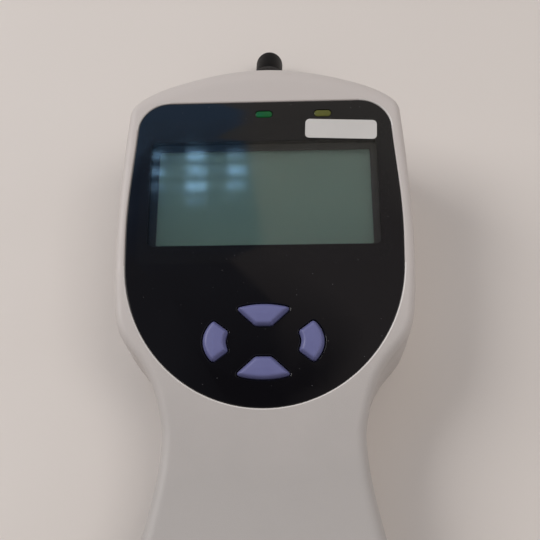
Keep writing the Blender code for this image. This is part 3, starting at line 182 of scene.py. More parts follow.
lamp("key_light", (-1.10, 0.42, 1.02), 0.9, 14.3, (1.0, 0.972, 0.945))
overhead = lamp("top_light", (0.85, 0.0, 1.65), 0.8, 7.8, (1.0, 0.965, 0.935))
overhead.visible_glossy = False
lamp("fill_light", (1.2, 0.0, 0.8), 1.2, 2.4, (1.0, 0.965, 0.935))
world = bpy.data.worlds.new("room")
world.use_nodes = True
tree = world.node_tree
rise = split(tree, coordinates(tree, "Generated"))["Z"]
room = blend(tree, spread(tree, rise, 0.0, 1.0, 0.0, 0.5),
             (0.24, 0.23, 0.225), (0.34, 0.325, 0.315))
tree.links.new(room, tree.nodes["Background"].inputs["Color"])
bpy.context.scene.world = world

ceiling = bpy.data.materials.new("ceiling")
ceiling.use_nodes = True
tree = ceiling.node_tree
place = coordinates(tree)
along = split(tree, place)
side = maths(tree, "MULTIPLY_ADD", along["Y"], 0.16, along["X"])
cool = blend(tree, spread(tree, along["Y"], 0.0, 1.0, 0.36, 0.60),
             (0.09, 0.095, 0.11), (0.06, 0.14, 0.27))
cool = blend(tree, spread(tree, along["Y"], 0.0, 1.0, 0.72, 0.84), cool, (0.24, 0.46, 0.78))
warm = blend(tree, spread(tree, along["Y"], 0.0, 1.0, 0.50, 0.80),
             (0.33, 0.29, 0.275), (0.52, 0.48, 0.42))
tone = blend(tree, spread(tree, side, 0.0, 1.0, -0.040, -0.015), cool, warm)
away = vectors(tree, "DISTANCE", place, (-0.10, -0.22, 0.0))["Value"]
tone = blend(tree, 1.0, tone, spread(tree, away, 0.04, 1.0, 0.22, 0.62), "MULTIPLY")
shift = vectors(tree, "SUBTRACT", place, (-0.31, 0.672, 0.0))["Vector"]
wide = vectors(tree, "MULTIPLY", shift, (4.6, 8.5, 0.0))["Vector"]
panes = spread(tree, vectors(tree, "LENGTH", wide)["Value"], 1.0, 0.0, 0.45, 1.05)
spot = split(tree, shift)
for part, pitch, low in ((spot["X"], 0.134, -0.35), (spot["Y"], 0.053, -0.9)):
    wave = maths(tree, "COSINE", maths(tree, "MULTIPLY", part, math.tau / pitch))
    panes = maths(tree, "MULTIPLY", panes, spread(tree, wave, 0.08, 1.0, low, 0.75))
cloudy = spread(tree, noise(tree, place, 0.05), 0.45, 1.15, 0.35, 0.6)
tone = blend(tree, maths(tree, "MULTIPLY", panes, cloudy), tone, (1.7, 3.2, 4.9))
glow = node(tree, "ShaderNodeEmission", {"Color": tone, "Strength": 1.0})
tree.links.new(glow.outputs[0], tree.nodes["Material Output"].inputs["Surface"])
above = level_sheet("ceiling", 1.5, 2.0, ceiling)


# Front casing: the light grey shell with the tilted face, moulded in textured ABS. It closes
# onto the rear casing along a fine parting line, and the fascia drops into its recess.
BODY_LENGTH, BODY_WIDTH = 0.190, 0.080
BODY_BOTTOM = -0.1119124
BODY_TOP = BODY_BOTTOM + BODY_LENGTH
PARTING, SEAM, GAP, FINE_GAP = 0.013, 0.0001, 0.0003, 0.00015
WALL, FACE_WALL = 0.0018, 0.0036
TILT, DRAFT = math.radians(8.0), math.radians(1.6)
TOP_SHOULDER, HEAD_SHOULDER, HANDLE_SHOULDER, FOOT_SHOULDER = 0.008, 0.0022, 0.0028, 0.005
BACK_RADIUS = 0.007
FACE_PEAK = 0.039921
PEAK = BODY_TOP - TOP_SHOULDER
FASCIA_WIDTH, FASCIA_LENGTH, FASCIA_FROM_TOP = 0.0731, 0.0843, 0.0143
FASCIA_INSET, FASCIA_THICKNESS = 0.00015, 0.0015
EASE_HIGH = BODY_TOP - FASCIA_FROM_TOP - FASCIA_LENGTH * math.cos(TILT) - 0.0003
BAY_TOP = BODY_BOTTOM + 0.0555
EASE_LOW = BAY_TOP + 0.0021
BODY_KNOTS = (
    (0.0, -0.0030, 0.0, 4), (0.6150, 0.0203, 18.3, 6), (0.9638, 0.0865, 86.0, 3),
    (1.0, 0.2632, 90.0, 2), (0.9805, 0.3684, 95.7, 2), (0.9344, 0.4147, 115.4, 2),
    (0.7650, 0.4619, 123.9, 3), (0.6458, 0.5274, 102.0, 2), (0.6320, 0.5501, 90.0, 3),
    (0.7204, 0.6705, 77.0, 1), (0.7775, 0.7132, 73.5, 2), (0.8725, 0.7868, 80.0, 2),
    (0.9000, 0.8526, 90.0, 1), (0.9000, 0.9447, 90.0, 5), (0.6450, 0.9958, 176.5, 1),
    (0.0, 1.0, 180.0, 0),
)
FASCIA_KNOTS = (
    (0.0, 0.0, 0.0, 1), (0.7223, 0.0, 0.0, 5), (0.9549, 0.0949, 87.0, 2),
    (1.0, 0.4270, 90.0, 1), (0.9918, 0.5635, 92.0, 12), (0.0, 1.0, 180.0, 0),
)


def half_outline(knots, half_width, length, fine):
    """Points and outward normals along smooth arcs between the knots."""
    points = []
    for here, onward in zip(knots, knots[1:]):
        start = Vector((here[0] * half_width, here[1] * length))
        end = Vector((onward[0] * half_width, onward[1] * length))
        bend = math.radians(abs(onward[2] - here[2]))
        chord = (end - start).length
        handle = chord / 3
        if bend > math.radians(1):
            handle = math.tan(bend / 4) * 4 / 3 * chord / (2 * math.sin(bend / 2))
        leave, arrive = (Vector((math.cos(math.radians(a)), math.sin(math.radians(a))))
                         for a in (here[2], onward[2]))
        count = here[3] * fine
        for step in range(count):
            t = step / count
            a, b, c, d = start, start + leave * handle, end - arrive * handle, end
            spot = (a * (1 - t) ** 3 + b * 3 * t * (1 - t) ** 2
                    + c * 3 * t * t * (1 - t) + d * t ** 3)
            slope = (b - a) * (1 - t) ** 2 + (c - b) * 2 * t * (1 - t) + (d - c) * t * t
            slope.normalize()
            points.append((spot.x, spot.y, slope.y, -slope.x))
    points.append((0.0, length, 0.0, 1.0))
    return points


BODY_HALF = half_outline(BODY_KNOTS, BODY_WIDTH / 2, BODY_LENGTH, 5)
FASCIA_HALF = half_outline(FASCIA_KNOTS, FASCIA_WIDTH / 2, FASCIA_LENGTH, 6)


def both_sides(half, grow=0.0):
    """The whole outline, anticlockwise seen from above, grown outwards."""
    right_side = [(x + nx * grow, -(s + ns * grow)) for x, s, nx, ns in half]
    left_side = [(-x, y) for x, y in right_side[-2:0:-1]]
    return (right_side + left_side)[::-1]


def face_height(y):
    """Height of the front face: one slope over the head, easing out along the handle."""
    if y >= EASE_HIGH:
        return FACE_PEAK + (y - PEAK) * math.tan(TILT)
    t = max((y - EASE_LOW) / (EASE_HIGH - EASE_LOW), 0)
    eased = 0.5 - (t ** 3 - t ** 4 / 2)
    return FACE_PEAK - (PEAK - EASE_HIGH + (EASE_HIGH - EASE_LOW) * eased) * math.tan(TILT)


def shoulder(s, ns):
    """Radius between face and wall: wide at the top end, tight beside the fascia."""
    change = min(max((s / BODY_LENGTH - 0.40) / 0.15, 0), 1)
    side = HEAD_SHOULDER + (HANDLE_SHOULDER - HEAD_SHOULDER) * change
    end = TOP_SHOULDER if ns < 0 else FOOT_SHOULDER
    at_end = ns < 0 or s > BODY_LENGTH * 0.9
    return side + (end - side) * abs(ns) ** 1.5 if at_end else side


def skin(front, inside, bends, lip=0.0002):
    """Rings of one shell, from the parting line over the shoulder and onto the face or back."""
    wall = WALL if inside else 0.0
    floor = (FACE_WALL if front else WALL) if inside else 0.0
    sign = 1 if front else -1
    start = PARTING + sign * SEAM / 2
    rings = []
    for x, s, nx, ns in BODY_HALF:
        radius = shoulder(s, ns) if front else BACK_RADIUS
        bend = max(radius - wall, 0.0008)
        rise = face_height(BODY_TOP - s) - radius - PARTING
        draft = rise * math.tan(DRAFT) if front else 0.0
        top = (face_height(BODY_TOP - s) - floor - bend) if front else floor + bend
        if inside:
            path = [(wall, start), (wall + draft, top)]
        else:
            turns = [math.radians(90) * step / 4 for step in range(4)]
            path = [(lip * (1 - math.sin(turn)), start + sign * lip * (1 - math.cos(turn)))
                    for turn in turns]
            low = start + sign * lip
            path += [(draft * step / 4, low + (top - low) * step / 4) for step in range(4)]
        for step in range(bends + 1):
            turn = math.radians(90) * step / bends
            inset = wall + draft + bend * (1 - math.cos(turn))
            y = BODY_TOP - (s - ns * inset)
            drop = bend * (1 - math.sin(turn))
            path.append((inset, face_height(y) - floor - drop if front else floor + drop))
        for extra in ((0.0004, 0.0012) if not inside else ()):
            inset = wall + draft + bend + extra
            y = BODY_TOP - (s - ns * inset)
            path.append((inset, face_height(y) - floor if front else floor))
        rings.append([(x - nx * inset, BODY_TOP - (s - ns * inset), z) for inset, z in path])
    return [[ring[level] for ring in rings] for level in range(len(rings[0]))]


def bridge(bm, first, second):
    """Faces between two rings of equal count."""
    for index in range(len(first)):
        onward = (index + 1) % len(first)
        bm.faces.new((first[index], first[onward], second[onward], second[index]))


def shell_mesh(front):
    """A closed shell with its wall: outside, inside and the rim between them."""
    bm = bmesh.new()
    rims = []
    for inside, bends in ((False, 12), (True, 3)):
        rows = [[bm.verts.new(point) for point in ring + [(-x, y, z) for x, y, z in ring[-2:0:-1]]]
                for ring in skin(front, inside, bends)]
        for first, second in zip(rows, rows[1:]):
            bridge(bm, first, second)
        last = rows[-1]
        for index in range(len(last) // 2):
            strip = (last[index], last[index + 1], last[-index - 1], last[-index])
            bm.faces.new(list(dict.fromkeys(strip)))
        rims.append(rows[0])
    bridge(bm, *rims)
    return bm


def finished(name, bm, finish=None, sharp=32, place=None):
    """Turns a bmesh into a smooth-shaded object at the origin, with its place in its mesh."""
    if place is not None:
        bmesh.ops.transform(bm, matrix=place, verts=bm.verts)
    bmesh.ops.remove_doubles(bm, verts=bm.verts, dist=0.000001)
    bmesh.ops.recalc_face_normals(bm, faces=bm.faces)
    mesh = bpy.data.meshes.new(name)
    bm.to_mesh(mesh)
    bm.free()
    mesh.shade_smooth()
    mesh.set_sharp_from_angle(angle=math.radians(sharp))
    if finish:
        mesh.materials.append(finish)
    return linked(name, mesh)


def cut(name, bm, place=None):
    """A tool that carved() takes away from a body."""
    return finished(name, bm, place=place), "DIFFERENCE"


def fuse(name, bm, place=None):
    """A tool that carved() adds to a body."""
    return finished(name, bm, place=place), "UNION"


def carved(body, tools, sharp=32):
    """Cuts or fuses the tools in turn, keeps the result as a plain mesh, and drops the tools."""
    for tool, operation in tools:
        step = body.modifiers.new("step", "BOOLEAN")
        step.object = tool
        step.operation = operation
        step.solver = "EXACT"
    bpy.context.view_layer.update()
    whole = body.evaluated_get(bpy.context.evaluated_depsgraph_get())
    mesh = bpy.data.meshes.new_from_object(whole)
    body.modifiers.clear()
    old = body.data
    body.data = mesh
    mesh.name = body.name
    bpy.data.meshes.remove(old)
    clean = bmesh.new()
    clean.from_mesh(mesh)
    bmesh.ops.remove_doubles(clean, verts=clean.verts, dist=0.000002)
    bmesh.ops.dissolve_degenerate(clean, edges=clean.edges, dist=0.000002)
    clean.to_mesh(mesh)
    clean.free()
    mesh.shade_smooth()
    mesh.set_sharp_from_angle(angle=math.radians(sharp))
    for tool, _ in tools:
        bpy.data.objects.remove(tool, do_unlink=True)
    return body


def stack(rings):
    """A closed solid from rings of equal count, each a list of (x, y) at its own height."""
    bm = bmesh.new()
    made = [[bm.verts.new((x, y, z)) for x, y in points] for points, z in rings]
    for first, second in zip(made, made[1:]):
        bridge(bm, first, second)
    bm.faces.new(made[0])
    bm.faces.new(made[-1])
    return bm


FASCIA_TOP = BODY_TOP - FASCIA_FROM_TOP
FACE = Matrix.Translation((0, FASCIA_TOP, face_height(FASCIA_TOP))) @ Matrix.Rotation(TILT, 4, "X")
PROBE_HEIGHT, PROBE_DIP = 0.0186, math.radians(24.0)
PROBE = (Matrix.Translation((0, BODY_TOP, PROBE_HEIGHT))
         @ Matrix.Rotation(-math.radians(90) - PROBE_DIP, 4, "X"))


def prism(outline, low, high):
    """An outline drawn out between two heights."""
    return stack([(outline, low), (outline, high)])


def flared(outline, low, edge):
    """A cutter whose mouth is rounded over at height 0, so it leaves a soft edge."""
    rings = [(outline(0.0), low), (outline(0.0), -edge)]
    for step in range(1, 6):
        bend = math.radians(78) * step / 5
        rings.append((outline(edge * (1 - math.cos(bend))), -edge + edge * math.sin(bend)))
    rings.append((outline(edge * 1.4), edge * 2))
    return stack(rings)


def rolled(outline, top, inward, drop):
    """Rings that roll an outline's edge over, from its wall up to its top."""
    turns = [math.radians(90) * step / 4 for step in range(5)]
    return [(outline(-inward * (1 - math.cos(turn))), top - drop * (1 - math.sin(turn)))
            for turn in turns]


def rounded_box(width, height, corner, centre=(0.0, 0.0), steps=8):
    """Outline with round corners, as (x, y) points."""
    points = []
    for quarter, (sx, sy) in enumerate(((1, 1), (-1, 1), (-1, -1), (1, -1))):
        for step in range(steps + 1):
            turn = math.radians(90) * (quarter + step / steps)
            points.append((centre[0] + sx * (width / 2 - corner) + corner * math.cos(turn),
                           centre[1] + sy * (height / 2 - corner) + corner * math.sin(turn)))
    return points


def block(half, along, height):
    """A plain box, as far to the left as to the right, used as a cutter."""
    corners = [(-half, along[0]), (half, along[0]), (half, along[1]), (-half, along[1])]
    return prism(corners, *height)


def lathe(profile, steps=64):
    """A closed profile of (radius, height), spun about Z; finished() closes its poles."""
    bm = bmesh.new()
    turns = [math.tau * k / steps for k in range(steps)]
    rows = [[bm.verts.new((radius * math.cos(turn), radius * math.sin(turn), height))
             for turn in turns] for radius, height in profile]
    for index, (radius, _) in enumerate(profile):
        if radius or profile[index - 1][0]:
            bridge(bm, rows[index - 1], rows[index])
    return bm


def softened(profile, radius, steps=3):
    """Rounds the corners of a closed profile; points on the axis stay as they are."""
    result = []
    for index, here in enumerate(profile):
        before, after = Vector(profile[index - 1]), Vector(profile[(index + 1) % len(profile)])
        here = Vector(here)
        back, onward = before - here, after - here
        if here.x < 1e-7 or min(back.length, onward.length) < 1e-7 or back.angle(onward) > 2.8:
            result.append(tuple(here))
            continue
        reach = min(radius, back.length * 0.45, onward.length * 0.45)
        start, end = here + back.normalized() * reach, here + onward.normalized() * reach
        for step in range(steps + 1):
            t = step / steps
            result.append(tuple(start.lerp(here, t).lerp(here.lerp(end, t), t)))
    return result


RING_CENTRE = (0.0, -0.0678)
RING_WIDTH, RING_HEIGHT = 0.0306, 0.0192


def ring_point(turn):
    return Vector((math.sin(turn) * RING_WIDTH / 2, math.cos(turn) * RING_HEIGHT / 2))


def rounded(points, reaches):
    """Cuts the corners of a fine outline: {index: reach} says which, and how far back."""
    soft = []
    count = len(points)
    for index, here in enumerate(points):
        near = [i for i in reaches if i != index
                and min((i - index) % count, (index - i) % count) < count // 4
                and (points[i] - here).length < reaches[i]]
        if near:
            continue
        if index not in reaches:
            soft.append(here)
            continue
        ends = []
        for way in (-1, 1):
            left, spot, step = reaches[index], here, index
            while True:
                step = (step + way) % count
                leg = points[step] - spot
                if leg.length >= left:
                    ends.append(spot + leg.normalized() * left)
                    break
                left -= leg.length
                spot = points[step]
        for step in range(9):
            t = step / 8
            soft.append(ends[0].lerp(here, t).lerp(here.lerp(ends[1], t), t))
    return soft


def key_shape(side, grow=0.0):
    """A key's outline about the middle of the ring: 0 up, 1 right, 2 down, 3 left."""
    if side % 2 == 0:
        reach = math.asin(2 * 0.0071 / RING_WIDTH)
        points = [ring_point(reach * (step / 20 - 1)) for step in range(41)]
        points += [Vector((0.0020, 0.0039)), Vector((-0.0020, 0.0039))]
        points = rounded(points, {0: 0.0014, 40: 0.0014, 41: 0.0006, 42: 0.0006})
    else:
        reach = math.asin(2 * 0.0127 / RING_WIDTH)
        points = [ring_point(reach + (math.pi - 2 * reach) * step / 40) for step in range(41)]
        points += [Vector((0.0089, -0.0025)), Vector((0.0097, 0.0)), Vector((0.0089, 0.0025))]
        points = rounded(points, {0: 0.0008, 40: 0.0008, 41: 0.0006, 42: 0.0012, 43: 0.0006})
    if side == 2:
        points = [Vector((p.x, -p.y)) for p in points[::-1]]
    if side == 3:
        points = [Vector((-p.x, p.y)) for p in points[::-1]]
    return offset(points, grow)


def offset(points, grow):
    """Moves a clockwise outline along its normals; edges that turn over fold onto one point."""
    count = len(points)
    moved = []
    for index, here in enumerate(points):
        back = (here - points[index - 1]).normalized()
        onward = (points[(index + 1) % count] - here).normalized()
        normal = Vector((-(back.y + onward.y), back.x + onward.x)).normalized()
        stretch = max(Vector((-back.y, back.x)).dot(normal), 0.6)
        moved.append(here + normal * (grow / stretch))
    turned = [(moved[(i + 1) % count] - moved[i]).dot(points[(i + 1) % count] - points[i]) <= 0
              for i in range(count)]
    for index in range(count):
        if turned[index] and not turned[index - 1]:
            run = [index]
            while turned[run[-1]]:
                run.append((run[-1] + 1) % count)
            spot = sum((moved[i] for i in run), Vector((0, 0))) / len(run)
            for i in run:
                moved[i] = spot.copy()
    return moved


def key_hole(side, grow):
    return [(p.x + RING_CENTRE[0], p.y + RING_CENTRE[1]) for p in key_shape(side, grow)]


WINDOW_WIDTH, WINDOW_HEIGHT, WINDOW_CENTRE = 0.0616, 0.0303, (0.0, -0.02715)
LIGHT_WIDTH, LIGHT_HEIGHT = 0.0047, 0.00195
LIGHTS = {"green": (0.0, -0.0037), "yellow": (0.0163, -0.0037)}


def light_shape(name, grow=0.0):
    return rounded_box(LIGHT_WIDTH + 2 * grow, LIGHT_HEIGHT + 2 * grow, 0.000974 + grow,
                       LIGHTS[name])


def window_shape(grow=0.0):
    return rounded_box(WINDOW_WIDTH + 2 * grow, WINDOW_HEIGHT + 2 * grow, 0.0015 + grow,
                       WINDOW_CENTRE)


BEYOND = 0.002
BORE_RADIUS = 0.0098
INFRARED_WIDTH, INFRARED_HEIGHT, INFRARED_CENTRE = 0.0120, 0.0040, 0.0166
recess_depth = FASCIA_INSET + FASCIA_THICKNESS + GAP
recess = flared(lambda g: both_sides(FASCIA_HALF, FINE_GAP + g), -recess_depth, 0.00045)
tools = [cut("recess", recess, FACE)]
for outline in (*(key_hole(side, GAP) for side in range(4)), window_shape(0.0005),
                light_shape("green", GAP), light_shape("yellow", GAP)):
    tools.append(cut("opening", prism(outline, -FACE_WALL - BEYOND, 0.001 - recess_depth), FACE))
bore = [(0, -0.0079), (BORE_RADIUS, -0.0079), (BORE_RADIUS, 0.0095), (0, 0.0095)]
tools.append(cut("bore", lathe(bore, 96), PROBE))
half = INFRARED_HEIGHT / 2 + GAP
tools.append(cut("infrared", block(INFRARED_WIDTH / 2 + GAP,
                                   (BODY_BOTTOM - BEYOND, BODY_BOTTOM + 0.0033),
                                   (INFRARED_CENTRE - half, INFRARED_CENTRE + half))))

def overlaid(finish, share, colour):
    """Lays a second colour over a finish, as far as its share says."""
    tree = finish.node_tree
    base = tree.nodes["Principled BSDF"].inputs["Base Color"]
    tree.links.new(blend(tree, share, base.links[0].from_socket, colour), base)


textured = moulding("textured_shell", (0.550, 0.507, 0.489), (0.530, 0.488, 0.470), 0.03,
                    (0.46, 0.60), 0.00030, 0.000035)
# Painted shade: the shell's tone darkens, with a wavy edge, from the head down towards the handle.
# It stands in for the shade that falls over the lower body.
tree = textured.node_tree
place = coordinates(tree)
uneven = spread(tree, noise(tree, place, 0.02), -0.006, 0.006)
along = maths(tree, "ADD", split(tree, place)["Y"], uneven)
overlaid(textured, spread(tree, along, 1.0, 0.0, -0.036, 0.016), (0.424, 0.400, 0.388))
front_casing = carved(finished("front_shell", shell_mesh(True), textured), tools)
# Black ink: real print on the back of the fascia and on the window's cut edge. On the walls of the
# casing's window opening it is painted shade.
ink_and_shade = moulding("black_ink", (0.003, 0.003, 0.0035), (0.004, 0.004, 0.0045), 0.004, (0.85, 0.95),
               0.0006, 0.000004, Specular_IOR_Level=0.1)
# Painted highlight: a lighter tone on the rounded lip round the fascia's recess stands in for the
# bright line that the lip catches along the fascia's edge.
recess_lip = moulding("recess_lip", (0.70, 0.67, 0.65), (0.66, 0.63, 0.61), 0.02, (0.40, 0.50),
                      0.0003, 0.00001)
for finish in (ink_and_shade, recess_lip):
    front_casing.data.materials.append(finish)


def distance_to(points):
    """A function that gives a place's distance from the nearest of these points."""
    found = kdtree.KDTree(len(points))
    for index, (x, y) in enumerate(points):
        found.insert((x, y, 0), index)
    found.balance()
    return lambda x, y: found.find((x, y, 0))[2]


def in_face(polygon):
    """A polygon's middle in the frame of the tilted face, and how level with it it lies."""
    return *(FACE.inverted() @ polygon.center), abs(polygon.normal @ FACE.col[2].xyz)


from_fascia = distance_to(both_sides(FASCIA_HALF))
for face in front_casing.data.polygons:
    x, y, z, level = in_face(face)
    # The walls of the window opening take the black ink: painted shade inside the opening.
    if level < 0.5 and abs(x) < 0.0330 and -0.0445 < y < -0.0095 and z < -0.0017:
        face.material_index = 1
    # The faces of the recess's rounded lip take the lighter tone: a painted highlight.
    elif 0.2 < level < 0.985 and -0.0006 < z < 0.0003 and from_fascia(x, y) < 0.0009:
        face.material_index = 2
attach(front_casing, "housing")
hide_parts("front_casing")

# Rear casing: the same textured ABS, with the flat back that it rests on, four screw wells and
# the wall of the battery bay. Its foot is open for the sliding cover.
COVER_HALF, COVER_LIP = 0.0292, 0.0090
TONGUE_HALF, TONGUE_TOP = 0.0110, WALL + 0.0015
SCREWS = ((-0.027, BODY_TOP - 0.0155), (0.027, BODY_TOP - 0.0155),
          (-0.01568, BAY_TOP + 0.0195), (0.01568, BAY_TOP + 0.0195))
edge = BAY_TOP + 2 * GAP
tools = [cut("foot_opening", block(COVER_HALF + GAP, (BODY_BOTTOM - BEYOND, BAY_TOP + GAP),
                                   (-BEYOND, COVER_LIP + GAP))),
         fuse("bay_wall", block(0.0262, (edge, edge + 0.0015), (WALL / 2, 0.0181))),
         cut("tongue_slot", block(TONGUE_HALF + GAP, (BAY_TOP - BEYOND, edge + 0.0035),
                                  (WALL + 0.00005, TONGUE_TOP + GAP)))]
boss = [(0, WALL / 2), (0.0044, WALL / 2), (0.0044, 0.010), (0, 0.010)]
well = softened([(0, -BEYOND), (0.0036, -BEYOND), (0.0036, -0.0002), (0.0030, 0.0004),
                 (0.0030, 0.00305), (0.0015, 0.00305), (0.0015, 0.012), (0, 0.012)], 0.0002)
for x, y in SCREWS:
    place = Matrix.Translation((x, y, 0))
    tools += [fuse("boss", lathe(boss, 48), place), cut("well", lathe(well, 48), place)]
tools.append(cut("bore", lathe(bore, 96), PROBE))
rear_casing = carved(finished("rear_shell", shell_mesh(False), textured), tools)
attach(rear_casing, "housing")
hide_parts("rear_casing")

# Battery cover: slides off the foot towards its end. It is a piece of the same back, with a
# tongue that goes under the bay wall and a patch of thumb grooves.
cover = finished("sliding_cover", shell_mesh(False), textured)
limits = block(COVER_HALF, (BODY_BOTTOM - BEYOND, BAY_TOP), (-BEYOND, COVER_LIP))
tools = [(finished("limits", limits), "INTERSECT")]
for back, front, low in ((0.0028, 0.0, WALL - 0.00045), (0.0014, 0.0028, WALL + 0.0003)):
    tongue = block(TONGUE_HALF, (BAY_TOP - back, BAY_TOP + front), (low, TONGUE_TOP))
    tools.append(fuse("tongue", tongue))
for index in range(7):
    width, middle = 0.0200 - 0.0018 * abs(index - 3), (0, BAY_TOP - 0.0085 - index * 0.0019)
    groove = rounded_box(width, 0.0011, 0.0005, middle, 4)
    inner = rounded_box(width - 0.0007, 0.0005, 0.0002, middle, 4)
    tools.append(cut("groove", stack([(groove, -BEYOND), (groove, 0.0001), (inner, 0.0006)])))
cover = carved(cover, tools)
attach(cover, "battery_cover")
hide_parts("battery_cover")

# Fascia: a glossy black acrylic plate with a straight top and a round lower end. The keys, the
# two lamps and the display window come through it, and fine dust lies on it.
gloss_black = moulding("gloss_black", (0.0046, 0.0043, 0.0056), (0.0056, 0.0054, 0.0070), 0.04,
                       (0.05, 0.10), 0.006, 0.000004, Specular_IOR_Level=0.42)
tree = gloss_black.node_tree
dust = node(tree, "ShaderNodeTexVoronoi", {"Vector": coordinates(tree), "Scale": 430.0})
specks = spread(tree, dust.outputs["Distance"], 1.0, 0.0, 0.025, 0.06)
overlaid(gloss_black, specks, (0.085, 0.085, 0.09))
under = -FASCIA_INSET - FASCIA_THICKNESS
plate = [(both_sides(FASCIA_HALF, -0.0002), under), (both_sides(FASCIA_HALF), under + 0.0002)]
plate += rolled(lambda g: both_sides(FASCIA_HALF, g), -FASCIA_INSET, 0.00013, 0.00013)
fascia = finished("black_fascia", stack(plate), gloss_black, place=FACE)
shift = Matrix.Translation((0, 0, -FASCIA_INSET))
tools = [cut("opening", flared(lambda g: key_hole(side, GAP + g), -0.003, 0.00025), FACE @ shift)
         for side in range(4)]
for outline in (window_shape(), light_shape("green", FINE_GAP), light_shape("yellow", FINE_GAP)):
    tools.append(cut("opening", prism(outline, -0.003, 0.001), FACE))
fascia = carved(fascia, tools)
fascia.data.materials.append(ink_and_shade)
for face in fascia.data.polygons:
    x, y, _, level = in_face(face)
    if level < 0.5 and abs(x) < 0.0312 and -0.043 < y < -0.011:
        face.material_index = 1
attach(fascia, "housing")
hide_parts("fascia_panel")

# Display window: the clear part of the overlay, flush with the black around it. It is polished
# acrylic, and its cut edge is inked black.
def clear_sheet(name, colour, shade, drift, haze, rough, **settings):
    """A clear finish with a faint drift of tone and an uneven haze."""
    made, tree, shader = principled(name, settings)
    place = coordinates(tree)
    tone = blend(tree, noise(tree, place, drift), colour, shade)
    tree.links.new(tone, shader.inputs["Base Color"])
    tree.links.new(spread(tree, noise(tree, place, haze), *rough), shader.inputs["Roughness"])
    return made


clear = clear_sheet("clear_acrylic", (0.80, 0.83, 0.84), (0.77, 0.81, 0.82), 0.02, 0.004,
                    (0.01, 0.05), Transmission_Weight=1.0, IOR=1.49)
window = prism(window_shape(-0.00003), under, -FASCIA_INSET)
window = finished("clear_window", window, clear, place=FACE)
window.data.materials.append(ink_and_shade)
for face in window.data.polygons:
    face.material_index = int(in_face(face)[3] < 0.5)
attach(window, "housing")
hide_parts("display_window")

# Protective film: a thin clear sheet that still covers the upper part of the fascia. It clings
# by itself, and is cut away over the middle lamp.
film_clear = clear_sheet("clear_film", (0.02, 0.021, 0.022), (0.03, 0.031, 0.032), 0.01, 0.006,
                         (0.03, 0.09), Alpha=0.05)
film = prism(rounded_box(0.0670, 0.0420, 0.0030, (0, -0.0262)), -FASCIA_INSET + 0.00005,
             -FASCIA_INSET + 0.00017)
film = carved(finished("clear_film", film, film_clear, place=FACE),
              [cut("notch", prism(light_shape("green", GAP), -BEYOND, BEYOND), FACE)])
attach(film, "housing")
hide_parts("display_film")

# Sticker on the film: white paper with round corners, stuck on a little askew. Its face is
# bare.
STICKER_WIDTH, STICKER_HEIGHT = 0.0196, 0.0058
paper = moulding("sticker_white", (0.585, 0.570, 0.556), (0.560, 0.546, 0.532), 0.006,
                 (0.38, 0.52), 0.0004, 0.00001)
askew = FACE @ Matrix.Translation((0.0212, -0.0089, -FASCIA_INSET + 0.00022)) \
    @ Matrix.Rotation(math.radians(-2.5), 4, "Z")
outline = rounded_box(STICKER_WIDTH, STICKER_HEIGHT, 0.0012)
brim = rounded_box(STICKER_WIDTH - 0.00008, STICKER_HEIGHT - 0.00008, 0.00116)
sticker = stack([(outline, 0.0), (outline, 0.00008), (brim, 0.00012)])
sticker = finished("blank_sticker", sticker, paper, place=askew)
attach(sticker, "housing")
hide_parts("film_label")

# Keys: four lavender caps in a ring. Each has a soft edge and a slightly crowned top, and a
# flange under the fascia that keeps it in. It presses straight into the tilted face.
lavender = moulding("lavender_key", (0.140, 0.147, 0.320), (0.129, 0.135, 0.299), 0.004,
                    (0.40, 0.52), 0.00022, 0.000012)
FLANK = ((84, 0.0001), (74, 0.0001), (67, 0.00012), (64, 0.0004), (60, 0.0004), (54, 0.0002),
         (44, 0.00015), (32, 0.00015), (20, 0.00015), (10, 0.00015), (4, 0.0002), (2, 0.002))


def raised(distance):
    """Height of a key's top over its edge, at this distance in from the outline."""
    height = 0.0
    for slope, length in FLANK:
        run = min(length * math.cos(math.radians(slope)), distance)
        height += run * math.tan(math.radians(slope))
        distance -= run
    return height


def inside(outline, x, y):
    """Whether a point lies in an outline."""
    odd = False
    for (ax, ay), (bx, by) in zip(outline, outline[1:] + outline[:1]):
        if (ay > y) != (by > y) and x < ax + (bx - ax) * (y - ay) / (by - ay):
            odd = not odd
    return odd


def crowned(outline, base, pitch=0.00015):
    """Adds a soft top over an outline to a stack of rings, as a fine even mesh."""
    samples = []
    for first, second in zip(outline, outline[1:] + outline[:1]):
        first, second = Vector(first), Vector(second)
        count = max(math.ceil((second - first).length / 0.00005), 1)
        samples += [first.lerp(second, step / count) for step in range(count)]
    from_edge = distance_to(samples)
    points, heights = [Vector(p) for p in outline], [base] * len(outline)
    across, along = zip(*outline)
    for row in range(1, int((max(along) - min(along)) / pitch) + 1):
        for column in range(1, int((max(across) - min(across)) / pitch) + 1):
            x = min(across) + (column + row % 2 / 2) * pitch
            y = min(along) + row * pitch
            distance = from_edge(x, y)
            if distance > pitch * 0.45 and inside(outline, x, y):
                points.append(Vector((x, y)))
                heights.append(base + raised(distance))
    edges = [(index, (index + 1) % len(outline)) for index in range(len(outline))]
    spots, _, faces, origins, _, _ = delaunay_2d_cdt(points, edges, [], 1, 1e-8)
    level = [heights[origin[0]] if origin else base for origin in origins]
    return [(spot.x, spot.y, z) for spot, z in zip(spots, level)], faces


for side, name in enumerate(("key_up", "key_right", "key_down", "key_left")):
    under, brim = -FACE_WALL - GAP, -FASCIA_INSET - 0.0002
    outline, flange = key_hole(side, 0.0), key_hole(side, 0.0008)
    bm = stack([(flange, under - 0.0010), (flange, under), (outline, under), (outline, brim)])
    bm.faces.ensure_lookup_table()
    bm.faces.remove(bm.faces[-1])
    spots, faces = crowned(outline, brim)
    spots = [bm.verts.new(spot) for spot in spots]
    for corners in faces:
        bm.faces.new([spots[corner] for corner in corners])
    key = finished(f"{name}_cap", bm, lavender, 40, place=FACE)
    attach(key, name)
    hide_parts(name)

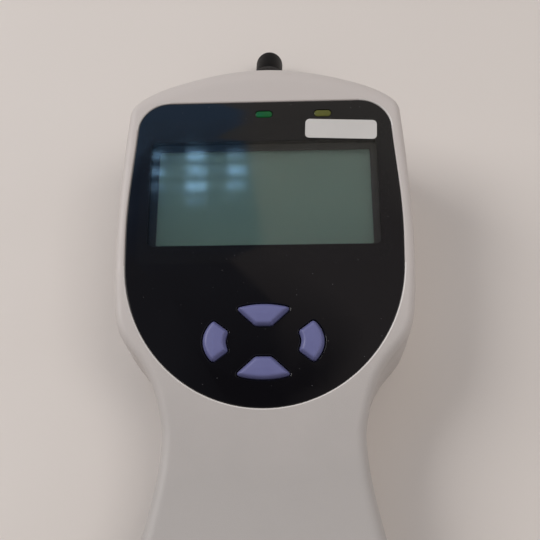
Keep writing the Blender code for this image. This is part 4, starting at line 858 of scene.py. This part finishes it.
# Lamps: clear coloured light pipes that stand flush in the fascia over two small lamps. They are
# pressed in from behind, and their ends are rounded.
for name, colour, shade in (("green", (0.007, 0.082, 0.021), (0.005, 0.102, 0.028)),
                            ("yellow", (0.092, 0.096, 0.024), (0.108, 0.112, 0.024))):
    tint = moulding(f"{name}_pipe", colour, shade, 0.0012, (0.10, 0.22), 0.0006, 0.00001,
                    Specular_IOR_Level=0.3)
    rings = rolled(lambda g: light_shape(name, g), -FASCIA_INSET, 0.0003, 0.00025)
    pipe = stack([(light_shape(name), -0.0084)] + rings)
    pipe = finished(f"{name}_pipe", pipe, tint, place=FACE)
    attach(pipe, "housing")
    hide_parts(f"{name}_light_pipe")

# Display: a grey-green liquid crystal cell behind a dark mask, seen through the window. Cell and
# mask are clamped between the board and the face.
cell_glass = moulding("display_cell", (0.262, 0.393, 0.330), (0.250, 0.377, 0.316), 0.02,
                      (0.05, 0.09), 0.001, 0.000001, IOR=1.8)
GLASS_WIDTH, GLASS_HEIGHT = 0.0640, 0.0340
outline = rounded_box(GLASS_WIDTH, GLASS_HEIGHT, 0.0006, WINDOW_CENTRE)
brim = rounded_box(GLASS_WIDTH - 0.0002, GLASS_HEIGHT - 0.0002, 0.0006, WINDOW_CENTRE)
glass = stack([(outline, -0.0067), (outline, -0.0048), (brim, -0.0047)])
glass = finished("display_cell", glass, cell_glass, place=FACE)
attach(glass, "housing")
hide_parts("display_glass")

mask_grey = moulding("mask_grey", (0.013, 0.0135, 0.0145), (0.016, 0.0165, 0.0175), 0.01,
                     (0.35, 0.5), 0.0005, 0.00001)
mask = prism(rounded_box(GLASS_WIDTH + 0.002, GLASS_HEIGHT + 0.002, 0.0008, WINDOW_CENTRE),
             -0.0044, -0.0039)
opening = prism(rounded_box(0.0584, 0.0279, 0.0005, WINDOW_CENTRE), -0.006, -0.003)
mask = finished("display_mask", mask, mask_grey, place=FACE)
mask = carved(mask, [cut("opening", opening, FACE)])
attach(mask, "housing")
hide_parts("display_bezel")

# Probe: a collar of the casing's colour, the black manifold in it, and the screwed nose cone
# that holds the thin tip. A ribbed grip runs round the cone's wide end.
SNOUT, NECK, NECK_END = 0.0095, 0.0044, 0.0150
collar = softened([(0.0063, -0.0102), (0.0108, -0.0102), (0.0108, -0.0082), (0.0095, -0.0082),
                   (0.0095, 0.0020), (0.0079, SNOUT - GAP), (0.0076, SNOUT), (0.0063, SNOUT)],
                  0.0005, 4)
collar = finished("probe_collar", lathe(collar, 96), textured, place=PROBE)
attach(collar, "housing")
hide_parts("probe_snout")

satin_black = moulding("satin_black", (0.0060, 0.0055, 0.0062), (0.0085, 0.0078, 0.0086), 0.006,
                       (0.50, 0.60), 0.00035, 0.000012, IOR=1.22)
manifold = softened([(0, -0.009), (0.006, -0.009), (0.006, SNOUT), (NECK, SNOUT), (NECK, NECK_END),
                     (0.0018, NECK_END), (0.0018, 0.012), (0, 0.012)], 0.0003)
manifold = finished("probe_manifold", lathe(manifold, 64), satin_black, place=PROBE)
nozzle = [(0, -0.0125), (0.0008, -0.0125), (0.0008, -0.007), (0, -0.007)]
nozzle = fuse("nozzle", lathe(nozzle, 24), PROBE @ Matrix.Translation((0.003, 0, 0)))
manifold = carved(manifold, [nozzle])
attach(manifold, "housing")
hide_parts("probe_body")

STUB_END = 0.0332
cone = softened([
    (0.0059, 0.0098), (0.0066, 0.0098), (0.0069, 0.0101), (0.0069, 0.0143), (0.0062, 0.0146),
    (0.0058, 0.0180), (0.0033, 0.0199), (0.00255, 0.0270), (0.0017, 0.0273),
    (0.0017, STUB_END), (0.00115, STUB_END),
    (0.00115, 0.0177), (0.0047, 0.0177), (0.0047, 0.0110), (0.0059, 0.0110)], 0.00035, 4)
cone = finished("nose_cone", lathe(cone, 96), satin_black, place=PROBE)


def tree_of(name, sizes):
    """A Geometry Nodes tree with named number inputs and their usual values."""
    tree = bpy.data.node_groups.new(name, "GeometryNodeTree")
    tree.interface.new_socket("Geometry", in_out="INPUT", socket_type="NodeSocketGeometry")
    tree.interface.new_socket("Geometry", in_out="OUTPUT", socket_type="NodeSocketGeometry")
    for size, value in sizes.items():
        kind = "NodeSocketInt" if isinstance(value, int) else "NodeSocketFloat"
        tree.interface.new_socket(size, in_out="INPUT", socket_type=kind).default_value = value
    return tree, node(tree, "NodeGroupInput").outputs, node(tree, "NodeGroupOutput")


def grown(name, tree, spots, finish, result, mesh, place=None):
    """Ends a tree that makes copies, runs it on a mesh and keeps the result as a plain object."""
    real = node(tree, "GeometryNodeRealizeInstances", {"Geometry": spots.outputs["Instances"]})
    painted = node(tree, "GeometryNodeSetMaterial", {"Geometry": real.outputs["Geometry"],
                                                     "Material": finish})
    tree.links.new(painted.outputs["Geometry"], result.inputs["Geometry"])
    seed = linked(name, mesh)
    seed.modifiers.new("tree", "NODES").node_group = tree
    bpy.context.view_layer.update()
    whole = seed.evaluated_get(bpy.context.evaluated_depsgraph_get())
    copies = bpy.data.meshes.new_from_object(whole)
    bpy.data.objects.remove(seed, do_unlink=True)
    if place is not None:
        copies.transform(place)
    copies.shade_smooth()
    copies.set_sharp_from_angle(angle=math.radians(32))
    return linked(name, copies)


tree, given, result = tree_of("grip_ribs", {"Count": 30, "Radius": 0.0068, "Length": 0.0036,
                                            "Thickness": 0.0007})
circle = node(tree, "GeometryNodeMeshCircle", {"Vertices": given["Count"],
                                               "Radius": given["Radius"]})
size = node(tree, "ShaderNodeCombineXYZ", {"X": given["Thickness"], "Y": given["Thickness"],
                                           "Z": given["Length"]})
rib = node(tree, "GeometryNodeMeshIcoSphere", {"Radius": 0.5, "Subdivisions": 3}).outputs["Mesh"]
rib = node(tree, "GeometryNodeTransform", {"Geometry": rib, "Scale": size.outputs[0]})
spots = node(tree, "GeometryNodeInstanceOnPoints", {"Points": circle.outputs["Mesh"],
                                                    "Instance": rib.outputs["Geometry"]})
ribs = grown("cone_ribs", tree, spots, satin_black, result, bpy.data.meshes.new("cone_ribs"),
             PROBE @ Matrix.Translation((0, 0, 0.01225)))
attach(cone, "nose_cone")
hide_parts("nose_cone")
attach(ribs, "nose_cone")

# Ear tip: soft dark silicone, a smooth dome on a hollow stem, its skirt turned back over it. It
# grips the stub of the cone and pulls off for each patient.
silicone = moulding("dark_silicone", (0.0040, 0.0036, 0.0040), (0.0060, 0.0055, 0.0060), 0.004,
                    (0.34, 0.44), 0.0008, 0.000006, IOR=1.13)
CENTRE, RADIUS, HOLE, RIM = 0.0310, 0.0045, 0.0011, 0.0205
first = math.acos(HOLE / RADIUS)
dome = [(RADIUS * math.cos(first * step / 24), CENTRE + RADIUS * math.sin(first * step / 24))
        for step in range(25)]
tip = [(0.0020, 0.0276), (0.0025, 0.0276), (0.0025, CENTRE), (0.00363, CENTRE), (0.0038, RIM + GAP),
       (0.00403, RIM), (0.0044, RIM + GAP)]
tip = softened(tip + dome + [(HOLE, STUB_END + GAP), (0.0020, STUB_END + GAP)], 0.0002)
tip = finished("soft_ear_tip", lathe(tip, 96), silicone, place=PROBE)
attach(tip, "ear_tip")
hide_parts("ear_tip")

# Case screws: zinc-plated pan heads with a cross recess, sunk in the wells of the back. They
# hold the two shells together.
zinc = moulding("zinc_plate", (0.56, 0.56, 0.57), (0.47, 0.47, 0.49), 0.002, (0.22, 0.36), 0.0003,
                0.000006, Metallic=1.0)
pan = [(0, 0.0003), (0.0008, 0.0), (0.0019, 0.0001), (0.0025, 0.0006), (0.0027, 0.0012),
       (0.0027, 0.0018), (0.0012, 0.0018), (0.0012, 0.0174), (0.0004, 0.0186), (0, 0.0186)]
screw = finished("pattern_screw", lathe(pan, 40), zinc)
long, narrow = 0.0016, 0.00032
screw = carved(screw, [cut("cross", block(x, (-y, y), (-0.001, 0.0009)))
                       for x, y in ((long, narrow), (narrow, long))])


def repeated(name, pattern, finish, places, lean=0.0, flip=0.0):
    """Copies of a pattern piece at points, leaned over and every second one flipped."""
    tree, given, result = tree_of(name, {"Scale": 1.0, "Lean": lean, "Flip": flip})
    source = node(tree, "GeometryNodeObjectInfo", {"Object": pattern})
    odd = maths(tree, "MODULO", node(tree, "GeometryNodeInputIndex").outputs[0], 2.0)
    angle = maths(tree, "MULTIPLY_ADD", odd, given["Flip"], given["Lean"])
    turned = node(tree, "ShaderNodeCombineXYZ", {"X": angle})
    spots = node(tree, "GeometryNodeInstanceOnPoints", {
        "Points": given["Geometry"], "Instance": source.outputs["Geometry"],
        "Rotation": turned.outputs[0], "Scale": given["Scale"]})
    points = bpy.data.meshes.new(name)
    points.from_pydata(places, [], [])
    made = grown(name, tree, spots, finish, result, points)
    bpy.data.objects.remove(pattern, do_unlink=True)
    return made


screws = repeated("case_screws", screw, zinc, [(x, y, 0.0012) for x, y in SCREWS])
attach(screws, "housing")
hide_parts("case_screw_1", "case_screw_2", "case_screw_3", "case_screw_4")

# Battery cells: four bare AA cells side by side, every second one turned round. Each has a dark
# sleeve with a copper band, a steel nub and a steel base inside the sleeve's rim.
CELL_RADIUS, CELL_LENGTH, CELL_PITCH, CELL_CENTRE = 0.0071, 0.0505, 0.0145, 0.0104
CELL_LOW = BODY_BOTTOM + 0.0040
base, brow = -CELL_LENGTH / 2, CELL_LENGTH / 2 - 0.0013
cells = [((index - 1.5) * CELL_PITCH, CELL_LOW + CELL_LENGTH / 2, CELL_CENTRE)
         for index in range(4)]
sleeve_dark = moulding("cell_sleeve", (0.020, 0.021, 0.024), (0.028, 0.029, 0.033), 0.01,
                       (0.16, 0.28), 0.0010, 0.00001)
copper = moulding("cell_band", (0.60, 0.33, 0.13), (0.54, 0.29, 0.11), 0.006, (0.22, 0.32), 0.0005,
                  0.000006, Metallic=1.0)
can_steel = moulding("cell_steel", (0.60, 0.60, 0.61), (0.50, 0.50, 0.52), 0.003, (0.18, 0.30),
                     0.0003, 0.000004, Metallic=1.0)
sleeve = [(0, base + 0.0003), (0.0058, base + 0.0003), (0.0060, base), (CELL_RADIUS - 0.0005, base),
          (CELL_RADIUS, base + 0.0006), (CELL_RADIUS, brow - 0.0008), (CELL_RADIUS - 0.0008, brow),
          (0.0054, brow), (0.0052, brow - 0.0002), (0, brow - 0.0002)]
band = [(0.0066, brow - 0.0125), (0.00713, brow - 0.0125), (0.00713, brow - 0.0009),
        (0.0066, brow - 0.0003)]
flat_end = [(0, base + 0.00005), (0.0052, base + 0.00005), (0.0056, base + 0.0002),
            (0.0056, base + 0.0009), (0, base + 0.0009)]
nub = [(0, brow + 0.0011), (0.0012, brow + 0.0011), (0.0016, brow + 0.0013),
       (0.0023, brow + 0.0013), (0.0027, brow + 0.0009), (0.0028, brow + 0.0002),
       (0.0048, brow - 0.0001), (0.0048, brow - 0.0006), (0, brow - 0.0006)]
for name, finish, profile in (("cell_sleeves", sleeve_dark, sleeve), ("cell_bands", copper, band),
                              ("cell_bases", can_steel, flat_end), ("cell_nubs", can_steel, nub)):
    pattern = finished(name, lathe(softened(profile, 0.0003), 64), finish)
    copies = repeated(name, pattern, finish, cells, -math.pi / 2, math.pi)
    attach(copies, "housing")
    if name == "cell_sleeves":
        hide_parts("battery_cell_1", "battery_cell_2", "battery_cell_3", "battery_cell_4")

# Contacts: nickel-plated plates at both ends of the cells, with a coiled spring against each flat
# base and a raised button against each nub.
nickel = moulding("nickel_strip", (0.62, 0.59, 0.52), (0.54, 0.51, 0.45), 0.004, (0.2, 0.32),
                  0.0005, 0.000008, Metallic=1.0)
PLATE_HEIGHT = 0.0096
upper, lower = CELL_LOW + CELL_LENGTH + GAP, CELL_LOW - GAP - 0.0004
standing = Matrix.Rotation(math.radians(90), 4, "X")
for name, first, last, y in (("terminal_positive", -1.5, -1.5, upper + 0.00015),
                             ("link_middle", -0.5, 0.5, upper + 0.00015),
                             ("terminal_negative", 1.5, 1.5, upper + 0.00015),
                             ("link_left", -1.5, -0.5, lower), ("link_right", 0.5, 1.5, lower)):
    width = (last - first) * CELL_PITCH + PLATE_HEIGHT
    plate = rounded_box(width, PLATE_HEIGHT, 0.0015)
    rim = rounded_box(width - 0.00008, PLATE_HEIGHT - 0.00008, 0.00146)
    plate = stack([(rim, 0), (plate, -0.00004), (plate, -0.00021), (rim, -0.00025)])
    place = Matrix.Translation(((first + last) / 2 * CELL_PITCH, y, CELL_CENTRE)) @ standing
    plate = finished(f"{name}_plate", plate, nickel, place=place)
    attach(plate, "housing")
    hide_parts(name)
TURNS, STEPS, WIRE, WIDE_END, NARROW_END = 3.2, 144, 0.00018, 0.0042, 0.0012
bm = bmesh.new()
rows = []
for step in range(STEPS + 1):
    turn = math.tau * TURNS * step / STEPS
    reach = WIDE_END + (NARROW_END - WIDE_END) * step / STEPS
    ring = [math.tau * k / 8 for k in range(8)]
    rows.append([bm.verts.new((math.cos(turn) * (reach + WIRE * math.cos(around)),
                               math.sin(turn) * (reach + WIRE * math.cos(around)),
                               WIRE * math.sin(around))) for around in ring])
for first, second in zip(rows, rows[1:]):
    bridge(bm, first, second)
bm.faces.new(rows[0])
bm.faces.new(rows[-1])
spring = finished("pattern_spring", bm, nickel)
button = softened([(0, -0.0002), (0.0030, -0.0002), (0.0028, 0.0), (0.0018, 0.00015), (0, 0.00018)],
                  0.0002)
button = finished("pattern_button", lathe(button, 40), nickel)
for name, pattern, at_lower, at_upper in (("contact_springs", spring, 0.0005, -0.0001),
                                          ("contact_buttons", button, 0.0003, 0.0001)):
    places = []
    for index, (x, _, z) in enumerate(cells):
        at_base = (index % 2 == 0) == (pattern is spring)
        places.append((x, lower + at_lower if at_base else upper + at_upper, z))
    copies = repeated(name, pattern, nickel, places, math.pi / 2, math.pi)
    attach(copies, "housing")

# Infrared window: a dark red filter with round corners, let into the end of the foot. It is
# clipped in from inside.
filter_red = moulding("infrared_filter", (0.020, 0.004, 0.008), (0.026, 0.006, 0.010), 0.004,
                      (0.08, 0.16), 0.001, 0.000005)
pane = rounded_box(INFRARED_WIDTH, INFRARED_HEIGHT, 0.0004)
rim = rounded_box(INFRARED_WIDTH - 0.0003, INFRARED_HEIGHT - 0.0003, 0.0003)
place = Matrix.Translation((0, BODY_BOTTOM, INFRARED_CENTRE)) @ standing
pane = stack([(pane, -0.0013), (pane, -0.0003), (rim, -0.00015)])
pane = finished("infrared_pane", pane, filter_red, place=place)
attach(pane, "housing")
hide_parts("infrared_window")

# Parts inside the shells, which keep their CAD solids: rubber mat and seals, milky silicone, lamp
# bodies, the board with its sensor, metal cans and screws, and the pump's clear barrel.
for finish, names in (
        (moulding("mat_rubber", (0.11, 0.115, 0.125), (0.125, 0.13, 0.14), 0.01, (0.55, 0.7),
                  0.0004, 0.00002), ("keypad_mat",)),
        (moulding("black_rubber", (0.012, 0.012, 0.012), (0.018, 0.018, 0.018), 0.004, (0.45, 0.6),
                  0.0003, 0.00001), ("probe_o_ring", "pump_piston")),
        (moulding("milky_silicone", (0.55, 0.57, 0.58), (0.62, 0.64, 0.65), 0.004, (0.35, 0.5),
                  0.0006, 0.00001, Subsurface_Weight=0.2),
         ("sealing_washer", "probe_tip", "air_tube")),
        (moulding("lamp_body", (0.70, 0.71, 0.66), (0.76, 0.77, 0.70), 0.002, (0.15, 0.3),
                  0.0005, 0.00001), ("green_led", "yellow_led", "display_backlight")),
        (moulding("solder_mask", (0.010, 0.100, 0.040), (0.014, 0.125, 0.050), 0.01, (0.25, 0.4),
                  0.0008, 0.00002), ("main_board",)),
        (moulding("chip_package", (0.018, 0.018, 0.020), (0.025, 0.025, 0.027), 0.003, (0.5, 0.65),
                  0.0002, 0.00002), ("pressure_sensor",)),
        (moulding("metal_can", (0.50, 0.50, 0.51), (0.42, 0.42, 0.44), 0.004, (0.25, 0.4), 0.0004,
                  0.00001, Metallic=1.0),
         ("receiver", "microphone", "pump_motor", "pump_bracket", "lead_screw",
          "board_screw_1", "board_screw_2", "board_screw_3", "board_screw_4")),
        (moulding("barrel_plastic", (0.62, 0.66, 0.67), (0.66, 0.70, 0.71), 0.006, (0.1, 0.2),
                  0.0008, 0.00001, Transmission_Weight=0.7), ("pump_cylinder",))):
    for name in names:
        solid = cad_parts[name]
        if not solid.material_slots:
            solid.data.materials.append(finish)
        for slot in solid.material_slots:
            slot.material = finish
